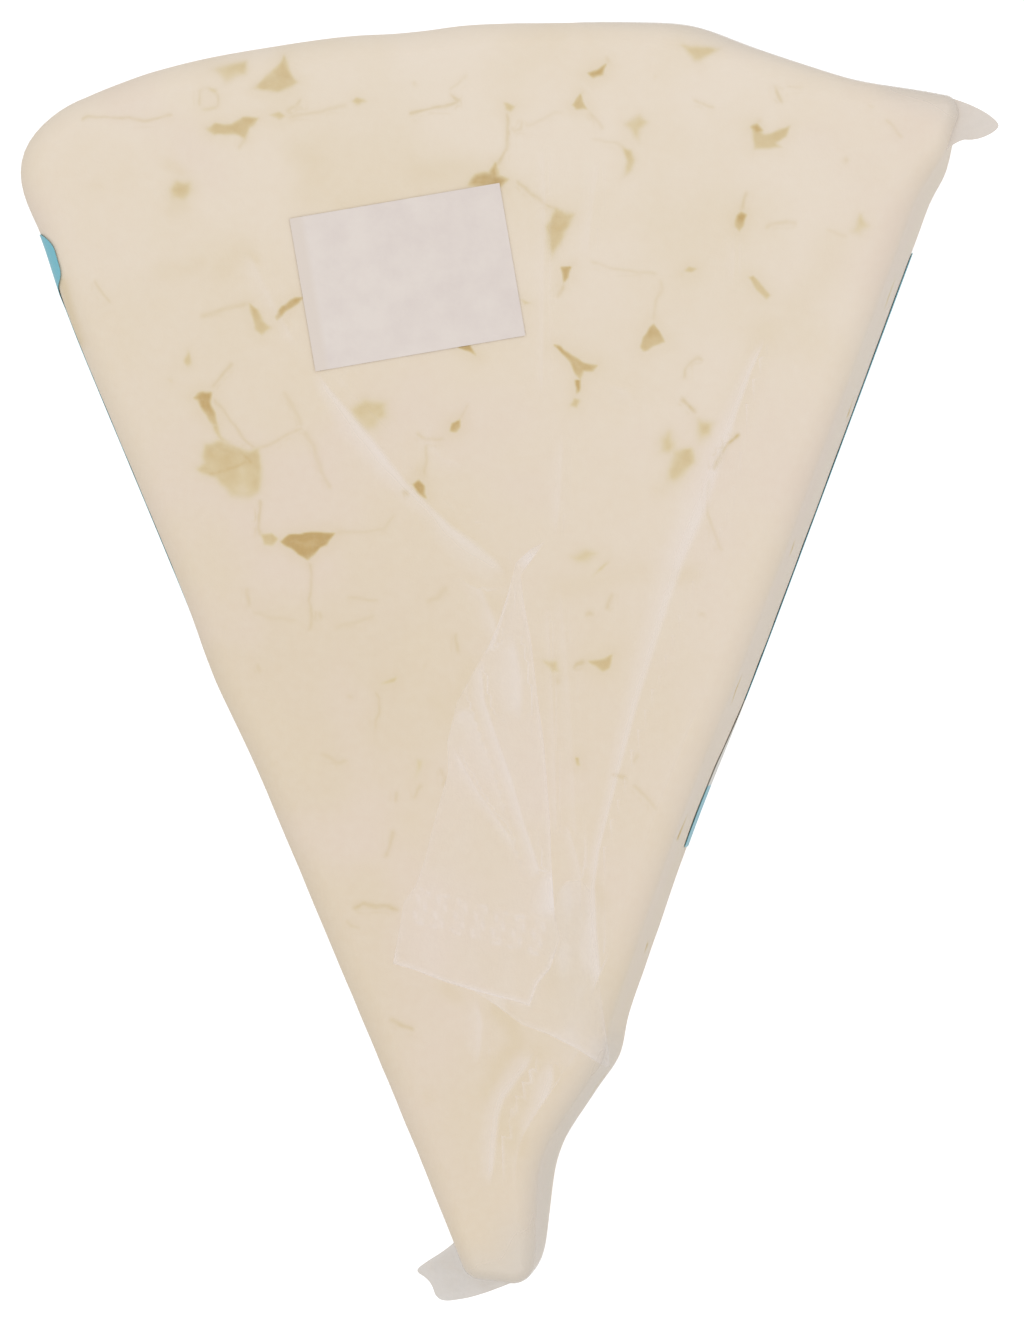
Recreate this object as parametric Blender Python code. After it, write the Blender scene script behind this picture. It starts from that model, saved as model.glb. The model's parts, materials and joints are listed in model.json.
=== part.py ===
"""A wedge of feta sealed in clear film, lying on its labelled side with its plain side up.

The film is stretched tight, so wedge and film are one solid: a blunt sector of a low round
cheese with rounded rims, the gaps between its curds, the folds of the film gathered towards
the tip, a tuft of spare film at the tip and a film ear at one corner. A small blank price label
lies on the upper side. A coloured label runs under the wedge and a little way up both cut sides.

Metres, +Z up. X runs across the wedge, Y from its tip to its round back. The origin is the
middle of the footprint, at the height of the table.
"""

import math
import random

import bmesh
import bpy
import numpy as np
from mathutils import Matrix, Vector, noise

MM = 0.001

# The wedge: about an eighth of a wheel, cut from tip to rind.
THICKNESS = 31 * MM
WHEEL_RADIUS = 126.9 * MM
WHEEL_CENTRE = Vector((1.7, -59.25)) * MM
TIP_LEFT = Vector((-4.75, -64.4)) * MM
TIP_RIGHT = Vector((2.2, -65.1)) * MM
LEFT_SIDE_TURN = math.radians(-22.72)
RIGHT_SIDE_TURN = math.radians(20.45)
TIP_ROUND = 3.0 * MM
BACK_RIGHT_ROUND = 3.0 * MM
BACK_LEFT_ROUND = 10.5 * MM
OUTLINE_STEP = 3.2 * MM
CORNER_STEPS = 5

# How the soft cheese leaves that ideal outline: (x, y, reach, height) in mm, outwards if positive.
SWELLS = [
    (8.0, -52.8, 6.2, -1.75),
    (11.8, -41.8, 3.0, 0.8),
    (19.0, -17.0, 12.0, -0.4),
    (-31.0, -2.0, 7.0, 0.45),
    (-50.0, 45.0, 7.0, -0.8),
    (-37.0, 61.5, 12.0, 0.85),
    (-50.5, 52.0, 5.0, 0.6),
    (-10.3, 67.0, 5.0, -0.4),
    (13.5, 66.8, 7.0, 0.5),
    (36.0, 62.5, 10.0, -1.0),
    (3.0, -62.5, 3.0, 0.45),
]

# The walls lean in towards the upper side, and both rims are rounded, but less so where film gathers.
LEAN = 1.5 * MM
LEAN_TO_THE_RIGHT = 1.0 * MM
LEAN_CURVE = 1.4
TOP_ROUND = 2.6 * MM
BASE_ROUND = 1.6 * MM
TIP_STIFFENS_OVER = 14 * MM
EAR_STIFFENS_OVER = 10 * MM
STIFF_SHARE = 0.45
WALL_LEVELS = 5
ROUND_LEVELS = 4

# The upper side is nearly flat.
CROWN = 0.5 * MM
DENT = 0.35 * MM
DENT_SIZE = 16 * MM
TOP_GRID = 4 * MM
GRID_OFFSET = 0.31
CUT_TOLERANCE = 0.02 * MM
RIM_WIDTH = 6 * MM

# Labels
PRICE_LABEL_SIZE = Vector((22, 16)) * MM
PRICE_LABEL_CENTRE = Vector((-10.8, 39.8)) * MM
PRICE_LABEL_TURN = math.radians(9.7)
LABEL_THICKNESS = 0.4 * MM
GAP = 0.3 * MM

# The front label's edge on each cut side, from back to front: corners (y, height, rounding) in mm.
LABEL_ON_LEFT = [
    (44.3, 30.4, 1.6),
    (39.8, 30.3, 2.0),
    (38.0, 28.0, 1.5),
    (36.6, 15.0, 4.0),
    (10.0, 15.5, 3.0),
    (5.0, 9.0, 3.0),
]
LABEL_ON_RIGHT = [
    (43.5, 5.0, 2.0),
    (20.0, 3.2, 4.0),
    (-5.0, 3.0, 3.0),
    (-10.5, 9.8, 3.0),
    (-15.0, 10.8, 4.0),
    (-19.5, 10.6, 0.3),
]
LABEL_LEFT_OF = -30 * MM
LABEL_RIGHT_OF = 18 * MM
LABEL_STENCIL_FLOOR = -5 * MM

# Gaps between curds: (x, y, length, width, turn in degrees, depth, corners) on the upper side.
TOP_GAPS = [
    (-29.0, 60.6, 3.4, 2.4, 0, 1.0, 4),
    (-23.9, 60.3, 4.8, 3.4, -10, 2.0, 3),
    (-28.5, 55.3, 5.4, 1.8, 12, 1.8, 4),
    (-34.2, 48.8, 2.4, 2.8, 20, 1.0, 5),
    (-2.8, 50.4, 3.6, 1.8, 10, 2.2, 3),
    (8.8, 60.8, 2.0, 0.9, 18, 1.6, 4),
    (6.8, 57.7, 1.8, 1.6, 0, 1.8, 3),
    (26.4, 54.5, 3.6, 2.5, 0, 1.8, 4),
    (23.4, 45.4, 1.5, 1.9, 0, 2.2, 5),
    (4.9, 44.4, 5.2, 2.8, -100, 2.0, 3),
    (25.7, 38.6, 3.0, 1.2, -45, 1.2, 4),
    (14.4, 33.3, 2.4, 2.8, -8, 2.0, 3),
    (6.7, 30.9, 3.6, 3.4, -30, 2.4, 3),
    (-25.8, 35.6, 2.6, 2.0, 60, 1.6, 3),
    (-31.5, 26.6, 4.4, 2.0, -60, 2.2, 4),
    (-28.4, 20.4, 6.2, 5.6, 35, 2.2, 5),
    (-21.3, 12.4, 5.6, 3.4, 180, 3.0, 3),
    (-14.7, 25.4, 3.8, 3.4, 0, 1.2, 5),
    (-5.9, 24.3, 1.0, 1.5, 0, 1.8, 5),
    (-9.5, 18.8, 4.2, 2.0, 100, 2.4, 3),
    (17.0, 22.6, 3.4, 2.8, 40, 1.2, 4),
    (19.4, 20.0, 4.2, 3.2, 50, 1.6, 5),
    (9.5, 0.0, 2.6, 1.9, 10, 1.6, 3),
    (6.9, -0.5, 2.0, 1.4, 0, 1.4, 4),
]
CORNER_CLEARANCE = 8 * MM
WALL_GAPS = 26
WALL_GAP_LENGTH = (2.0, 5.5)
WALL_GAP_DEPTH = (0.8, 2.0)
LABEL_CLEARANCE = 6 * MM
GAP_RISE = 2.5 * MM
GAP_FLOOR = 0.45

# Folds of film on the upper side: their middle lines as (x, y, width). A fold is steep on one side
# and flat on the other: its section goes (half widths across, share of its height) round its crest.
FOLD_HEIGHT = 0.45 * MM
FOLD_ROOT = 0.8 * MM
FOLD_FOOT = ((-1.5, 0.0), (1.2, 0.0))
FOLD_CREST = ((1.0, 1.0), (0.0, 0.9), (-1.3, -0.2))
FOLDS = {
    "left": [(-20.0, 28.6, 0.6), (-13.1, 19.3, 1.4), (-7.5, 13.1, 1.4), (-0.8, 7.9, 0.7)],
    "left_branch": [(-8.2, 13.6, 0.5), (-4.6, 6.6, 1.0), (-2.8, 2.0, 0.5)],
    "upper_left": [(-27.9, 42.8, 0.4), (-25.8, 38.3, 0.9), (-22.8, 33.8, 0.4)],
    "right": [
        (21.7, 21.4, 0.5),
        (17.6, 12.6, 1.8),
        (13.7, 2.3, 1.8),
        (10.3, -10.2, 1.0),
        (8.1, -21.5, 0.6),
        (8.8, -33.8, 0.6),
        (9.5, -39.6, 0.5),
    ],
    "tip_left": [(1.2, -38.9, 0.6), (-0.8, -44.0, 1.2), (-1.9, -53.5, 0.6)],
    "tip_right": [(4.6, -42.6, 0.6), (2.9, -47.5, 1.2), (1.2, -54.8, 0.5)],
}

# Loose layers of film, as corners (x, y): the folded-over end on the upper side and what lies under it.
FLAP_THICKNESS = 0.9 * MM
FLAP_RISE = 0.55 * MM
UNDER_FLAP_RISE = 0.3 * MM
FLAP = [
    (0.3, 10.0),
    (-4.4, -2.9),
    (-6.4, -8.5),
    (-8.7, -18.8),
    (-10.4, -23.3),
    (-12.2, -30.9),
    (-6.4, -32.5),
    (1.9, -35.2),
    (5.0, -28.2),
    (4.5, -26.6),
    (3.7, -12.2),
    (2.9, -2.9),
]
UNDER_FLAP = [
    (4.3, -23.0),
    (-2.3, -34.0),
    (0.0, -36.6),
    (3.9, -38.7),
    (8.0, -41.0),
    (9.2, -39.5),
    (9.3, -34.0),
    (8.6, -29.5),
    (6.4, -25.0),
]
CRIMPS_FROM = Vector((-9.4, -25.2)) * MM
CRIMPS_TO = Vector((2.6, -28.4)) * MM
CRIMP_COUNT = 7
CRIMP_SIZE = Vector((0.9, 3.4)) * MM
CRIMP_TURN = math.radians(-12)
CRIMP_RISE = 0.25 * MM

# Spare film that stands out from the wedge, as corners (x, y), with its height above the table.
LEAF_THICKNESS = 0.9 * MM
TAIL = [
    (-3.0, -58.0),
    (-5.8, -61.4),
    (-7.3, -63.0),
    (-10.5, -64.7),
    (-8.5, -66.2),
    (-8.2, -67.3),
    (-7.2, -67.9),
    (-4.0, -67.3),
    (-1.3, -66.4),
    (1.0, -65.2),
    (1.5, -61.0),
]
TAIL_HEIGHT = 5.0 * MM
TAIL_DROP = 0.45
EAR = [
    (38.0, 56.0),
    (39.0, 59.4),
    (42.8, 59.4),
    (46.5, 58.3),
    (48.5, 57.5),
    (49.9, 56.8),
    (50.8, 55.7),
    (49.0, 54.5),
    (47.9, 54.1),
    (46.3, 54.2),
    (43.0, 51.5),
]
EAR_HEIGHT = 28.0 * MM
EAR_RISE = 0.12
LEAF_WAVE = 0.5 * MM
LEAF_WAVE_LENGTH = 5.5 * MM

# Edges sharper than this stay crisp, the rest are shaded smooth.
SHARP_ANGLE = math.radians(35)

# Colours (linear) and roughness. Nothing here is metallic.
CHEESE = (0.79, 0.69, 0.54), 0.42
PAPER = (0.80, 0.74, 0.71), 0.7
PRINT = (0.16, 0.53, 0.62), 0.4


def clear_scene():
    for obj in list(bpy.data.objects):
        bpy.data.objects.remove(obj)


def finish(obj, name, look):
    """Gives an object its material."""
    colour, roughness = look
    material = bpy.data.materials.new(name)
    material.use_nodes = True
    shader = material.node_tree.nodes["Principled BSDF"]
    shader.inputs["Base Color"].default_value = (*colour, 1)
    shader.inputs["Roughness"].default_value = roughness
    shader.inputs["Metallic"].default_value = 0
    obj.data.materials.append(material)


def to_object(name, bm):
    """Turns a finished bmesh into a named object in the scene."""
    bm.normal_update()
    bmesh.ops.recalc_face_normals(bm, faces=bm.faces)
    mesh = bpy.data.meshes.new(name)
    bm.to_mesh(mesh)
    bm.free()
    mesh.shade_smooth()
    mesh.set_sharp_from_angle(angle=SHARP_ANGLE)
    obj = bpy.data.objects.new(name, mesh)
    bpy.context.scene.collection.objects.link(obj)
    return obj


def helper(obj):
    """Marks a cutter or a shape that is joined to another: it isn't a piece of its own."""
    obj.hide_render = True
    obj.display_type = "WIRE"
    return obj


def gather(name, objects):
    """A collection of helpers, for one Boolean modifier."""
    collection = bpy.data.collections.new(name)
    bpy.context.scene.collection.children.link(collection)
    for obj in objects:
        bpy.context.scene.collection.objects.unlink(obj)
        collection.objects.link(obj)
    return collection


def combine(obj, operation, other):
    """A Boolean modifier with an object or a collection."""
    modifier = obj.modifiers.new(operation.lower(), "BOOLEAN")
    modifier.operation = operation
    if isinstance(other, bpy.types.Collection):
        modifier.operand_type = "COLLECTION"
        modifier.collection = other
    else:
        modifier.object = other


def rounded_corner(corner, towards_start, towards_end, radius, steps=CORNER_STEPS):
    """Points of the arc that rounds a corner between two directions that lead away from it."""
    start, end = towards_start.normalized(), towards_end.normalized()
    half = start.angle(end) / 2
    setback = radius / math.tan(half)
    middle = corner + (start + end).normalized() * (radius / math.sin(half))
    first = corner + start * setback - middle
    turn = first.angle_signed(corner + end * setback - middle)
    return [middle + Matrix.Rotation(-turn * i / steps, 2) @ first for i in range(steps + 1)]


def stretch(start, end, step):
    """Evenly spaced points between two ends, without the ends."""
    count = round((end - start).length / step)
    return [start.lerp(end, i / count) for i in range(1, count)]


def outward_normals(points):
    """The outward direction at each point of a closed line that runs anticlockwise."""
    ahead = [(end - start).normalized() for start, end in zip(points, points[1:] + points[:1])]
    along = [before + after for before, after in zip(ahead[-1:] + ahead[:-1], ahead)]
    return [Vector((direction.y, -direction.x)).normalized() for direction in along]


def meet_rind(start, turn):
    """Where a cut side that leaves the tip at an angle to the Y axis meets the round rind."""
    direction = Vector((math.sin(turn), math.cos(turn)))
    from_centre = start - WHEEL_CENTRE
    along = from_centre.dot(direction)
    reach = math.sqrt(along**2 - from_centre.length_squared + WHEEL_RADIUS**2)
    return start + direction * (reach - along)


BACK_LEFT = meet_rind(TIP_LEFT, LEFT_SIDE_TURN)
BACK_RIGHT = meet_rind(TIP_RIGHT, RIGHT_SIDE_TURN)


def along_rind(corner, reach):
    """The way from a corner to the point of the rind at a distance from it, anticlockwise if positive."""
    return WHEEL_CENTRE + Matrix.Rotation(reach / WHEEL_RADIUS, 2) @ (corner - WHEEL_CENTRE) - corner


def swell(point):
    """How far the cheese stands out of its ideal outline at a point."""
    out = 0.0
    for x, y, reach, height in SWELLS:
        distance = (point / MM - Vector((x, y))).length
        out += height * MM * math.exp(-((distance / reach) ** 2))
    return out


def rind(start, end):
    """Points along the rind from one corner to the other, without the ends."""
    first, last = start - WHEEL_CENTRE, end - WHEEL_CENTRE
    turn = -first.angle_signed(last)
    count = round(turn * WHEEL_RADIUS / OUTLINE_STEP)
    return [WHEEL_CENTRE + Matrix.Rotation(turn * i / count, 2) @ first for i in range(1, count)]


def wedge_outline():
    """The wedge's widest outline, anticlockwise: the blunt tip, a cut side, the rind, a cut side."""
    left, right = TIP_LEFT - BACK_LEFT, BACK_RIGHT - TIP_RIGHT
    at_right = along_rind(BACK_RIGHT, BACK_RIGHT_ROUND)
    at_left = along_rind(BACK_LEFT, -BACK_LEFT_ROUND)
    corners = [
        rounded_corner(TIP_LEFT, -left, TIP_RIGHT - TIP_LEFT, TIP_ROUND),
        rounded_corner(TIP_RIGHT, TIP_LEFT - TIP_RIGHT, right, TIP_ROUND),
        rounded_corner(BACK_RIGHT, -right, at_right, BACK_RIGHT_ROUND),
        rounded_corner(BACK_LEFT, at_left, left, BACK_LEFT_ROUND),
    ]
    tip_left, tip_right, back_right, back_left = corners
    points = tip_left + tip_right + stretch(tip_right[-1], back_right[0], OUTLINE_STEP)
    points += back_right + rind(back_right[-1], back_left[0])
    points += back_left + stretch(back_left[-1], tip_left[0], OUTLINE_STEP)
    return [point + normal * swell(point) for point, normal in zip(points, outward_normals(points))]


def wall_levels():
    """(height, how far the rims' rounding pulls the wall in) from the table up to the upper side."""
    levels = []
    for i in range(ROUND_LEVELS):
        turn = math.pi / 2 * i / ROUND_LEVELS
        levels.append((BASE_ROUND * (1 - math.cos(turn)), BASE_ROUND * (1 - math.sin(turn))))
    straight = THICKNESS - BASE_ROUND - TOP_ROUND
    levels += [(BASE_ROUND + straight * i / WALL_LEVELS, 0.0) for i in range(WALL_LEVELS)]
    for i in range(ROUND_LEVELS + 1):
        turn = math.pi / 2 * i / ROUND_LEVELS
        height = THICKNESS - TOP_ROUND * (1 - math.sin(turn))
        levels.append((height, TOP_ROUND * (1 - math.cos(turn))))
    return levels


def softness(point):
    """How much of its lean and rounding the wall keeps: less at the tip and at the ear's corner."""
    from_tip = (point.y - TIP_RIGHT.y) / TIP_STIFFENS_OVER
    from_ear = ((point - BACK_RIGHT).length - BACK_RIGHT_ROUND) / EAR_STIFFENS_OVER
    return STIFF_SHARE + (1 - STIFF_SHARE) * max(0.0, min(1.0, from_tip, from_ear))


def lean_at(point, normal, height):
    """How far the wall has come in from its foot at a height."""
    lean = LEAN + LEAN_TO_THE_RIGHT * normal.x
    return lean * (height / THICKNESS) ** LEAN_CURVE * softness(point)


def wall_ring(outline, normals, height, rounding, shrink):
    """The wedge's outline at one height, pulled in by the wall's lean and the rims' rounding."""
    ring = []
    for point, normal in zip(outline, normals):
        inset = lean_at(point, normal, height) + rounding * softness(point) + shrink
        ring.append(Vector((*(point - normal * inset), height)))
    return ring


def loft(rings):
    """A closed bmesh whose first face is grown from ring to ring by extruding it."""
    bm = bmesh.new()
    cap = bm.faces.new([bm.verts.new(point) for point in rings[0]])
    for ring in rings[1:]:
        grown = bmesh.ops.extrude_face_region(bm, geom=[cap, *cap.edges])["geom"]
        cap = next(item for item in grown if isinstance(item, bmesh.types.BMFace))
        for vert, point in zip(cap.verts, ring):
            vert.co = point
    return bm, cap


def top_height(x, y):
    """How far the upper side stands above its rim: a low crown with soft dents."""
    across = (x / (0.4 * WHEEL_RADIUS)) ** 2 + (y / (0.55 * WHEEL_RADIUS)) ** 2
    dents = noise.noise(Vector((x, y, 0)) / DENT_SIZE)
    return CROWN * max(0.0, 1 - across) + DENT * dents


def slice_cap(bm, cap, step):
    """Cuts a flat face into a grid, as a cheese wire would, and returns the points inside it."""
    faces = [cap]
    corners = [vert.co.copy() for vert in cap.verts]
    for axis in (0, 1):
        values = [corner[axis] for corner in corners]
        normal = Vector((0, 0, 0))
        normal[axis] = 1
        for i in range(math.ceil(min(values) / step), math.floor(max(values) / step) + 1):
            edges = dict.fromkeys(edge for face in faces for edge in face.edges)
            verts = dict.fromkeys(vert for face in faces for vert in face.verts)
            cut = bmesh.ops.bisect_plane(
                bm,
                geom=[*faces, *edges, *verts],
                dist=CUT_TOLERANCE,
                plane_co=normal * (i + GRID_OFFSET) * step,
                plane_no=normal,
            )
            faces = [item for item in cut["geom"] if isinstance(item, bmesh.types.BMFace)]
    inside = set(faces)
    verts = dict.fromkeys(vert for face in faces for vert in face.verts)
    return [vert for vert in verts if all(face in inside for face in vert.link_faces)]


def wedge_body(name, shrink=0.0):
    """The wedge in its film, without folds, gaps and spare film. A shrunken one is for cutting."""
    outline = wedge_outline()
    normals = outward_normals(outline)
    rings = [wall_ring(outline, normals, z, rounding, shrink) for z, rounding in wall_levels()]
    bm, cap = loft(rings)
    if shrink:
        for vert in bm.verts:
            vert.co.z = shrink + vert.co.z * (THICKNESS - 2 * shrink) / THICKNESS
        return helper(to_object(name, bm))
    rim = [vert.co.copy() for vert in cap.verts]
    for vert in slice_cap(bm, cap, TOP_GRID):
        to_rim = min((vert.co - point).length for point in rim)
        vert.co.z += top_height(vert.co.x, vert.co.y) * min(1.0, to_rim / RIM_WIDTH)
    return to_object(name, bm)


def curd_gap(name, place, inward, turn, length, width, depth, corners, rng):
    """A cutter for one gap between curds: an uneven pyramid that narrows as it goes in."""
    bm = bmesh.new()
    bmesh.ops.create_cone(
        bm,
        cap_ends=True,
        segments=corners,
        radius1=GAP_FLOOR,
        radius2=1 + (1 - GAP_FLOOR) * GAP_RISE / depth,
        depth=depth + GAP_RISE,
    )
    for vert in bm.verts:
        vert.co.z += (GAP_RISE - depth) / 2
        uneven = rng.uniform(0.85, 1.15)
        vert.co.x *= length / 2 * uneven
        vert.co.y *= width / 2 * uneven
    facing = (-inward).to_track_quat("Z", "Y").to_matrix().to_4x4()
    bm.transform(Matrix.Translation(place) @ facing @ Matrix.Rotation(turn, 4, "Z"))
    return helper(to_object(name, bm))


def top_gaps(rng):
    """The gaps seen on the upper side."""
    cutters = []
    for i, (x, y, length, width, turn, depth, corners) in enumerate(TOP_GAPS):
        place = Vector((x * MM, y * MM, THICKNESS))
        place.z += top_height(place.x, place.y)
        sizes = [value * MM for value in (length, width, depth)]
        down = Vector((0, 0, -1))
        made = curd_gap(f"top_gap_{i}", place, down, math.radians(turn), *sizes, corners, rng)
        cutters.append(made)
    return cutters


def label_top(point, normal):
    """The greatest height that the front label reaches on the wall near a point."""
    if abs(normal.x) < 0.5:
        return 0.0
    edge = LABEL_ON_LEFT if normal.x < 0 else LABEL_ON_RIGHT
    ways, heights = [y * MM for y, _, _ in reversed(edge)], [z * MM for _, z, _ in reversed(edge)]
    near = [point.y + side * LABEL_CLEARANCE for side in (-1, -0.5, 0, 0.5, 1)]
    return max(float(np.interp(y, ways, heights, left=0, right=0)) for y in near)


def wall_gaps(rng):
    """Gaps scattered over the walls, clear of the rims, of the tip and of the front label."""
    outline = wedge_outline()
    normals = outward_normals(outline)
    cutters = []
    for i in range(WALL_GAPS):
        place = round((i + rng.uniform(0.1, 0.9)) * len(outline) / WALL_GAPS) % len(outline)
        point, normal = outline[place], normals[place]
        if point.y < TIP_RIGHT.y + TIP_STIFFENS_OVER or (point - BACK_RIGHT).length < CORNER_CLEARANCE:
            continue
        length = rng.uniform(*WALL_GAP_LENGTH) * MM
        width = length * rng.uniform(0.4, 0.8)
        depth = rng.uniform(*WALL_GAP_DEPTH) * MM
        lowest = max(BASE_ROUND, label_top(point, normal)) + length
        highest = THICKNESS - TOP_ROUND - length
        if lowest > highest:
            continue
        height = rng.uniform(lowest, highest)
        where = Vector((*(point - normal * lean_at(point, normal, height)), height))
        turn = rng.uniform(0, math.pi)
        inward = Vector((*-normal, 0))
        corners = rng.choice((3, 4, 5))
        sizes = (length, width, depth)
        cutters.append(curd_gap(f"wall_gap_{i}", where, inward, turn, *sizes, corners, rng))
    return cutters


def film_fold(name, line):
    """One fold of film: a low ridge that tapers out at both ends, rooted in the upper side."""
    points = [Vector((x, y, 0)) * MM for x, y, _ in line]
    rings = []
    for i, (point, (_, _, width)) in enumerate(zip(points, line)):
        ahead = points[min(i + 1, len(points) - 1)] - points[max(i - 1, 0)]
        side = Vector((ahead.y, -ahead.x, 0)).normalized() * (width * MM / 2)
        base = THICKNESS + top_height(point.x, point.y)
        rise = FOLD_HEIGHT * min(1.0, width)
        ring = [point + side * across + Vector((0, 0, base - FOLD_ROOT)) for across, _ in FOLD_FOOT]
        ring += [point + side * across + Vector((0, 0, base + rise * up)) for across, up in FOLD_CREST]
        rings.append(ring)
    return helper(to_object(name, loft(rings)[0]))


def leaf(name, corners, thickness, height_at):
    """A thin layer of film: one triangulated face, bent by height_at and then given its thickness."""
    bm = bmesh.new()
    bm.faces.new([bm.verts.new((x * MM, y * MM, 0)) for x, y in corners])
    bmesh.ops.triangulate(bm, faces=bm.faces, ngon_method="BEAUTY")
    bmesh.ops.subdivide_edges(bm, edges=bm.edges, cuts=1)
    bmesh.ops.triangulate(bm, faces=bm.faces)
    grown = bmesh.ops.extrude_face_region(bm, geom=bm.faces[:])["geom"]
    upper = {item for item in grown if isinstance(item, bmesh.types.BMVert)}
    for vert in bm.verts:
        lift = thickness if vert in upper else 0.0
        vert.co.z = height_at(vert.co.x, vert.co.y) + lift
    return helper(to_object(name, bm))


def wave(x, y):
    """The flutter of loose film."""
    return LEAF_WAVE * math.sin(math.tau * (x + 0.4 * y) / LEAF_WAVE_LENGTH)


def tail_height(x, y):
    """The tuft at the tip sinks from the wedge towards the table."""
    beyond = max(0.0, TIP_LEFT.x - x)
    return TAIL_HEIGHT - TAIL_DROP * beyond + 0.6 * wave(x, y)


def ear_height(x, y):
    """The ear at the corner rises a little as it stands out."""
    return EAR_HEIGHT + EAR_RISE * max(0.0, x - BACK_RIGHT.x) + wave(x, y)


def on_top(rise, thickness):
    """The height function of a layer that lies on the upper side and stands out by rise."""
    return lambda x, y: THICKNESS + top_height(x, y) + rise - thickness


def loose_film():
    """Everything of the film that isn't tight on the cheese."""
    layers = [film_fold(f"fold_{name}", line) for name, line in FOLDS.items()]
    layers.append(leaf("flap", FLAP, FLAP_THICKNESS, on_top(FLAP_RISE, FLAP_THICKNESS)))
    under = on_top(UNDER_FLAP_RISE, FLAP_THICKNESS)
    layers.append(leaf("under_flap", UNDER_FLAP, FLAP_THICKNESS, under))
    for i in range(CRIMP_COUNT):
        centre = CRIMPS_FROM.lerp(CRIMPS_TO, i / (CRIMP_COUNT - 1))
        corners = []
        for side, end in ((-1, -1), (1, -1), (1, 1), (-1, 1)):
            offset = Vector((side * CRIMP_SIZE.x, end * CRIMP_SIZE.y)) / 2
            corners.append((centre + Matrix.Rotation(CRIMP_TURN, 2) @ offset) / MM)
        rise = on_top(FLAP_RISE + CRIMP_RISE, FLAP_THICKNESS)
        layers.append(leaf(f"crimp_{i}", corners, FLAP_THICKNESS, rise))
    layers.append(leaf("tail", TAIL, LEAF_THICKNESS, tail_height))
    layers.append(leaf("ear", EAR, LEAF_THICKNESS, ear_height))
    return layers


def moved_out(line, grow):
    """An open line of corners with each of its sides moved out by grow."""
    ahead = [(end - start).normalized() for start, end in zip(line, line[1:])]
    out = [Vector((direction.y, -direction.x)) for direction in ahead]
    moved = [line[0] + out[0] * grow]
    for corner, before, after in zip(line[1:], out, out[1:]):
        moved.append(corner + (before + after) * grow / (1 + before.dot(after)))
    return moved + [line[-1] + out[-1] * grow]


def label_side(edge, grow):
    """The front label seen from one side: its edge on the cut side, carried on below the wedge."""
    corners = [Vector((y, z)) * MM for y, z, _ in edge]
    ends = [Vector((corner.x, LABEL_STENCIL_FLOOR)) for corner in (corners[0], corners[-1])]
    line = moved_out([ends[0], *corners, ends[1]], grow)
    profile = [line[0]]
    for i, (_, _, rounding) in enumerate(edge, start=1):
        before, corner, after = line[i - 1 : i + 2]
        profile += rounded_corner(corner, before - corner, after - corner, rounding * MM)
    return profile + [line[-1]]


def side_stencil(name, grow):
    """The front label's side views, drawn right through the wedge from one side to the other."""
    left, right = label_side(LABEL_ON_LEFT, grow), label_side(LABEL_ON_RIGHT, grow)
    reach = 0.7 * WHEEL_RADIUS
    places = ((-reach, left), (LABEL_LEFT_OF, left), (LABEL_RIGHT_OF, right), (reach, right))
    bm = loft([[Vector((x, point.x, point.y)) for point in profile] for x, profile in places])[0]
    bmesh.ops.triangulate(bm, faces=bm.faces)
    return helper(to_object(name, bm))


def front_label():
    """The coloured label: a skin as thick as the label, cut out of the wedge's own surface."""
    label = side_stencil("front_label", 0.0)
    label.hide_render = False
    label.display_type = "TEXTURED"
    combine(label, "INTERSECT", helper(wedge_body("label_outside")))
    combine(label, "DIFFERENCE", wedge_body("label_inside", LABEL_THICKNESS))
    finish(label, "printed_label", PRINT)
    return label


def label_recess():
    """What the front label sinks into, with a hair of room all round it."""
    recess = side_stencil("label_recess", GAP)
    combine(recess, "DIFFERENCE", wedge_body("recess_floor", LABEL_THICKNESS + GAP))
    return recess


def price_label():
    """The blank price label, which follows the upper side just clear of it."""
    bm = bmesh.new()
    bmesh.ops.create_grid(bm, x_segments=6, y_segments=4, size=0.5)
    bmesh.ops.triangulate(bm, faces=bm.faces)
    bm.transform(Matrix.Diagonal((*PRICE_LABEL_SIZE, 1, 1)))
    turned = Matrix.Rotation(PRICE_LABEL_TURN, 4, "Z")
    bm.transform(Matrix.Translation((*PRICE_LABEL_CENTRE, 0)) @ turned)
    grown = bmesh.ops.extrude_face_region(bm, geom=bm.faces[:])["geom"]
    upper = {item for item in grown if isinstance(item, bmesh.types.BMVert)}
    for vert in bm.verts:
        base = THICKNESS + top_height(vert.co.x, vert.co.y) + GAP
        vert.co.z = base + (LABEL_THICKNESS if vert in upper else 0.0)
    label = to_object("price_label", bm)
    finish(label, "blank_paper", PAPER)
    return label


def main():
    clear_scene()
    rng = random.Random(8)
    wedge = wedge_body("wrapped_wedge")
    finish(wedge, "feta_in_film", CHEESE)
    gaps = gather("curd_gaps", top_gaps(rng) + wall_gaps(rng))
    folds = gather("loose_film", loose_film())
    combine(wedge, "DIFFERENCE", gaps)
    combine(wedge, "UNION", folds)
    combine(wedge, "DIFFERENCE", label_recess())
    front_label()
    price_label()


main()
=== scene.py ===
# %% [markdown]
# # A wedge of feta in clear film
#
# The real thing is one wedge of soft white cheese, sealed tight in clear film. It has a blank price label
# on its plain upper side, and a coloured label wrapped under it and a little way up both cut sides.
#
# The CAD model fixes where everything is. It comes in as a frame that nothing here moves, and each new
# piece below stands where its solid stood: the cheese, the film drawn over it, the film's loose layers and
# the price label. Lengths in this notebook are millimetres until a mesh becomes a piece of the object.

import json
import math
import random

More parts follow.
